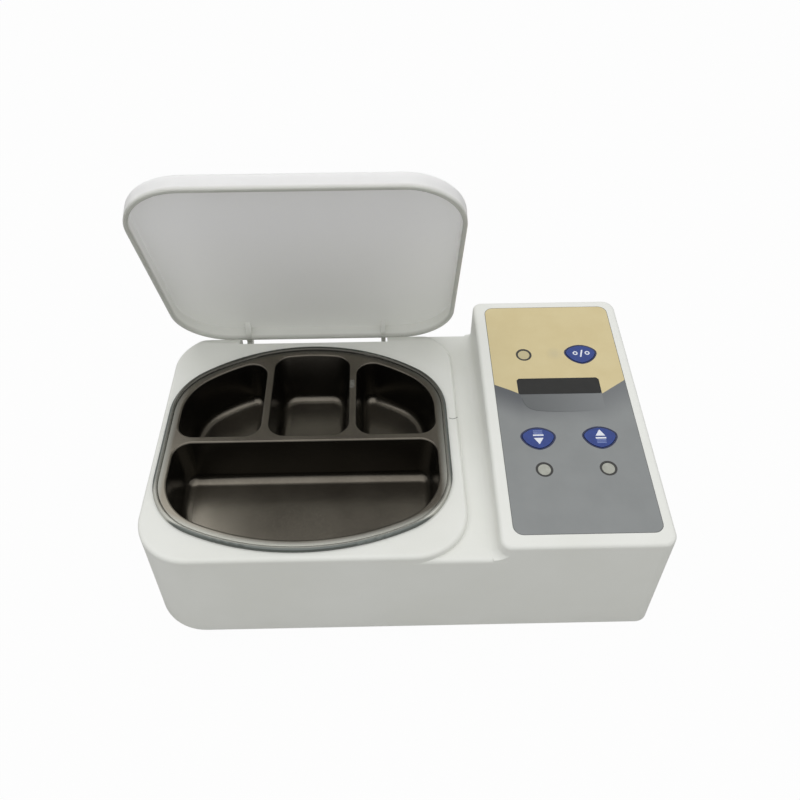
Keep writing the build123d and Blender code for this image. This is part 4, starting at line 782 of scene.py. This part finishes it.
film = {
    "box": (48.4, 114.3, -68.9, 70.0), "corner": 4.5, "edge": 0.15,
    "leftTurn": [(48.4, 16.0), (52.0, 14.3), (55.8, 12.5), (59.8, 10.2)],
    "rightTurn": [(101.6, 9.3), (105.6, 12.0), (109.5, 14.6), (114.3, 17.7)],
    "notch": [(59.9, 10.1), (59.9, 18.5), (61.1, 19.7), (100.1, 19.7), (101.3, 18.5), (101.3, 9.3)],
    "sill": [(101.3, 9.4), (59.9, 9.4)],
    "keyGap": 0.3, "outline": 0.65,
    "windows": [(65.7, 35.7), (66.4, -35.2), (96.0, -35.1)], "windowRadius": 3.15, "ringWidth": 0.9,
    "apron": [(60.6, 9.2), (61.0, 6.6), (61.7, 3.9), (62.7, 1.9), (64.4, 0.2), (67.2, -0.9), (72.0, -1.5),
              (78.0, -1.8), (86.0, -1.8), (93.1, -1.6), (98.0, -1.2), (101.2, -0.5), (101.2, 9.2)],
    "apronLine": (0.44, 0.55),
}


def printFilm(spec):
    layers = [panelPlane(count * panel["lift"]) for count in (1, 2, 3)]
    x0, x1, v0, v1 = spec["box"]
    edge = spec["edge"]
    outer = roundedBox(x0 + edge, x1 - edge, v0 + edge, v1 - edge, spec["corner"] - edge)
    left, right = ([(max(x0 + edge, min(x1 - edge, x)), v) for x, v in spec[turn]]
                   for turn in ("leftTurn", "rightTurn"))
    goldOuter = [p for p in outer if p[1] > 0] + left + spec["notch"] + right
    greyOuter = [p for p in outer if p[1] < 0] + right[::-1] + spec["sill"] + left[::-1]
    gaps = {name: keyLoop("key_" + name, spec["keyGap"]) for name in ("units", "down", "up")}
    panes = [ring(x, v, spec["windowRadius"]) for x, v in spec["windows"]]
    flatShape("goldPrint", [goldOuter, gaps["units"], panes[0]], layers[0], goldInk)
    flatShape("greyPrint", [greyOuter, gaps["down"], gaps["up"], panes[1], panes[2]], layers[0], greyInk)
    for name, gap in gaps.items():
        around = keyLoop("key_" + name, spec["keyGap"] + spec["outline"])
        flatShape(name + "KeyOutline", [around, gap], layers[1], ink["navyPolyesterPrint"])
    flatShape("displayApron", [spec["apron"]], layers[1], apronInk)
    # painted shade: a dark line along the apron's left and lower edge, thinning from its left to its right
    under = spec["apron"][1:10]
    right, up = spec["apronLine"]
    inner = []
    for i, (x, v) in enumerate(under):
        width = 1 - i / len(under)
        inner.append((x + width * right, v + width * up))
    flatShape("apronEdgeShade", [under + inner[::-1]], layers[2], ink["darkGreyPolyesterPrint"])
    black = ink["blackPolyesterPrint"]
    for count, ((x, v), pane) in enumerate(zip(spec["windows"], panes), 1):
        around = ring(x, v, spec["windowRadius"] + spec["ringWidth"])
        flatShape(f"indicatorRing{count}", [around, pane], layers[1], black)


printFilm(film)
print("film printed")


# key marks: white stripes, bar and triangle, and a plain slanted bar between two rings on the third key.
# Heights are counted from the key's centre

marks = {
    "down": {"centre": (66.1, -17.35), "stripes": (4.0, 3.2, 2.4), "bar": 1.45, "tip": -3.8, "base": -0.1},
    "up": {"centre": (95.6, -17.4), "stripes": (-1.8, -2.6, -3.4), "bar": -0.7, "tip": 4.3, "base": 0.6},
    "stripe": (4.4, 0.36), "barSize": (5.0, 0.85), "halfBase": 2.3,
}
slash = {"centre": (95.4, 35.8), "size": (0.8, 4.8), "lean": 0.65,
         "rings": (1.3, 0.65), "ringReach": 3.1, "ringRise": 0.2}


def markKeys():
    plane, solid, thin = panelPlane(panel["keyLift"]), ink["whitePadPrint"], ink["thinWhitePadPrint"]
    for name in ("down", "up"):
        mark = marks[name]
        cx, cv = mark["centre"]
        stripes = [bar(cx, cv + v, *marks["stripe"]) for v in mark["stripes"]]
        half = marks["halfBase"]
        arrow = [(cx - half, cv + mark["base"]), (cx + half, cv + mark["base"]), (cx, cv + mark["tip"])]
        across = bar(cx, cv + mark["bar"], *marks["barSize"])
        flatShape(name + "KeyStripes", stripes, plane, thin, name + "_key")
        flatShape(name + "KeyMarks", [across, arrow], plane, solid, name + "_key")
    x, v = slash["centre"]
    shapes = [bar(x, v, *slash["size"], slash["lean"])]
    for side in (-slash["ringReach"], slash["ringReach"]):
        shapes += [ring(x + side, v + slash["ringRise"], radius, 24) for radius in slash["rings"]]
    flatShape("unitsKeyMarks", shapes, plane, solid, "units_key")


markKeys()
print("keys marked")


# small marks: painted shade in a short slit in the deck beside the pan, and a rubbed strip on the right
# divider

wearAndShade = {
    "deck": 58.31, "slit": [(25.9, 7.5), (27.4, 6.8), (28.6, 7.0), (30.3, 7.9)], "slitWidth": 0.35,
    "divider": 59.32, "rub": (-24.6, -22.2, 29.2, 35.2), "rubCorner": 0.5,
}
rubbed = wornFinish("rubbedNonStickCoating", "#8C8B86", "#6E6C66", 0.34, 0.9, patch=2)[0]
# the slit is a dark strip of painted shade
line = wearAndShade["slit"]
flatShape("deckSlitShade", [line + [(x, y - wearAndShade["slitWidth"]) for x, y in line[::-1]]],
          levelPlane(wearAndShade["deck"]), ink["darkGreyPolyesterPrint"])
flatShape("dividerRub", [roundedBox(*wearAndShade["rub"], wearAndShade["rubCorner"])], levelPlane(wearAndShade["divider"]), rubbed)
print("marks of use added")


# power rocker: a bar on one half and a ring on the other, each in the middle of its own sloping face

rocker = {"lift": 0.03, "bar": (0.5, 3.0), "ring": (1.45, 1.0), "outwards": 0.9, "leastArea": 1.0}


def rockerPlane(half):
    # the face of that half: its large triangles that look out of the back
    low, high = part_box("switch_rocker")
    halfway = (low.z + high.z) / 2
    middle, normal, total = Vector(), Vector(), 0.0
    for face in nodes["switch_rocker"].data.polygons:
        large = face.area > rocker["leastArea"] * mm * mm
        if large and face.normal.y > rocker["outwards"] and (face.center.z - halfway) * half > 0:
            middle += face.center * face.area
            normal += face.normal * face.area
            total += face.area
    middle, normal = middle / total, normal.normalized()
    right = Vector((0, 0, 1)).cross(normal).normalized()
    up = normal.cross(right)
    turn = Matrix((right, up, normal)).transposed().to_4x4()
    return Matrix.Translation(middle + normal * rocker["lift"] * mm) @ turn


rockerMarks = {"rockerBar": (1, [bar(0, 0, *rocker["bar"])]),
               "rockerRing": (-1, [ring(0, 0, radius, 32) for radius in rocker["ring"]])}
for name, (half, shapes) in rockerMarks.items():
    flatShape(name, shapes, rockerPlane(half), ink["whitePadPrint"], "power_rocker")
print("rocker marked")


# floor, light and background, in metres

studio = {
    "floorSize": 6.0, "floor": "#B6B6B4", "floorWhite": 0.97,  # just under 1, so that a shadow shows
    "overhead": 0.86, "level": 0.37,  # world strength straight up and at eye level
    "lamp": (-0.1, -0.3, 1.4), "aim": (0, 0, 0.05), "lampSize": 2.2, "lampPower": 9.3,
}
white = (1, 1, 1, 1)


def makeFloor():
    material, tree, shader, place = startMaterial("floorPaint", studio["floor"], 0.9)
    toCamera = addNode(tree, "ShaderNodeLightPath", out="Is Camera Ray")
    seen = addNode(tree, "ShaderNodeMath", {"operation": "MULTIPLY"}, {0: toCamera, 1: studio["floorWhite"]})
    glow = addNode(tree, "ShaderNodeEmission", None, {"Color": white, "Strength": 1.0})
    mix = addNode(tree, "ShaderNodeMixShader", None, {0: seen, 1: shader.outputs[0], 2: glow})
    setInputs(tree, tree.nodes["Material Output"], {"Surface": mix})
    half = studio["floorSize"] / 2
    corners = [(x * half, y * half, 0) for x, y in ((-1, -1), (1, -1), (1, 1), (-1, 1))]
    mesh = bpy.data.meshes.new("floor")
    mesh.from_pydata(corners, [], [(0, 1, 2, 3)])
    mesh.materials.append(material)
    floor = bpy.data.objects.new("floor", mesh)
    bpy.context.scene.collection.objects.link(floor)


def makeLight():
    data = bpy.data.lights.new("softbox", "AREA")
    data.shape = "SQUARE"
    data.size = studio["lampSize"]
    data.energy = studio["lampPower"]
    lamp = bpy.data.objects.new("softbox", data)
    place = Vector(studio["lamp"])
    turn = (Vector(studio["aim"]) - place).to_track_quat("-Z", "Y").to_matrix().to_4x4()
    lamp.matrix_world = Matrix.Translation(place) @ turn
    bpy.context.scene.collection.objects.link(lamp)


def makeWorld():
    world = bpy.data.worlds.new("studio")
    world.use_nodes = True
    bpy.context.scene.world = world
    tree = world.node_tree
    toward = addNode(tree, "ShaderNodeTexCoord", out="Generated")
    rise = addNode(tree, "ShaderNodeSeparateXYZ", None, {0: toward}, "Z")
    soft = addNode(tree, "ShaderNodeMapRange", None, {
        "Value": rise, "To Min": studio["level"], "To Max": studio["overhead"]})
    # the camera, metal and glass all see plain white
    seen = addNode(tree, "ShaderNodeLightPath", out="Is Camera Ray")
    for ray in ("Is Transmission Ray", "Is Glossy Ray"):
        other = addNode(tree, "ShaderNodeLightPath", out=ray)
        seen = addNode(tree, "ShaderNodeMath", {"operation": "MAXIMUM"}, {0: seen, 1: other})
    strength = addNode(tree, "ShaderNodeMapRange", None, {"Value": seen, "To Min": soft, "To Max": 1.0})
    setInputs(tree, tree.nodes["Background"], {"Color": white, "Strength": strength})


makeFloor()
makeLight()
makeWorld()
bpy.context.scene.view_settings.view_transform = "Standard"
print("studio lit")
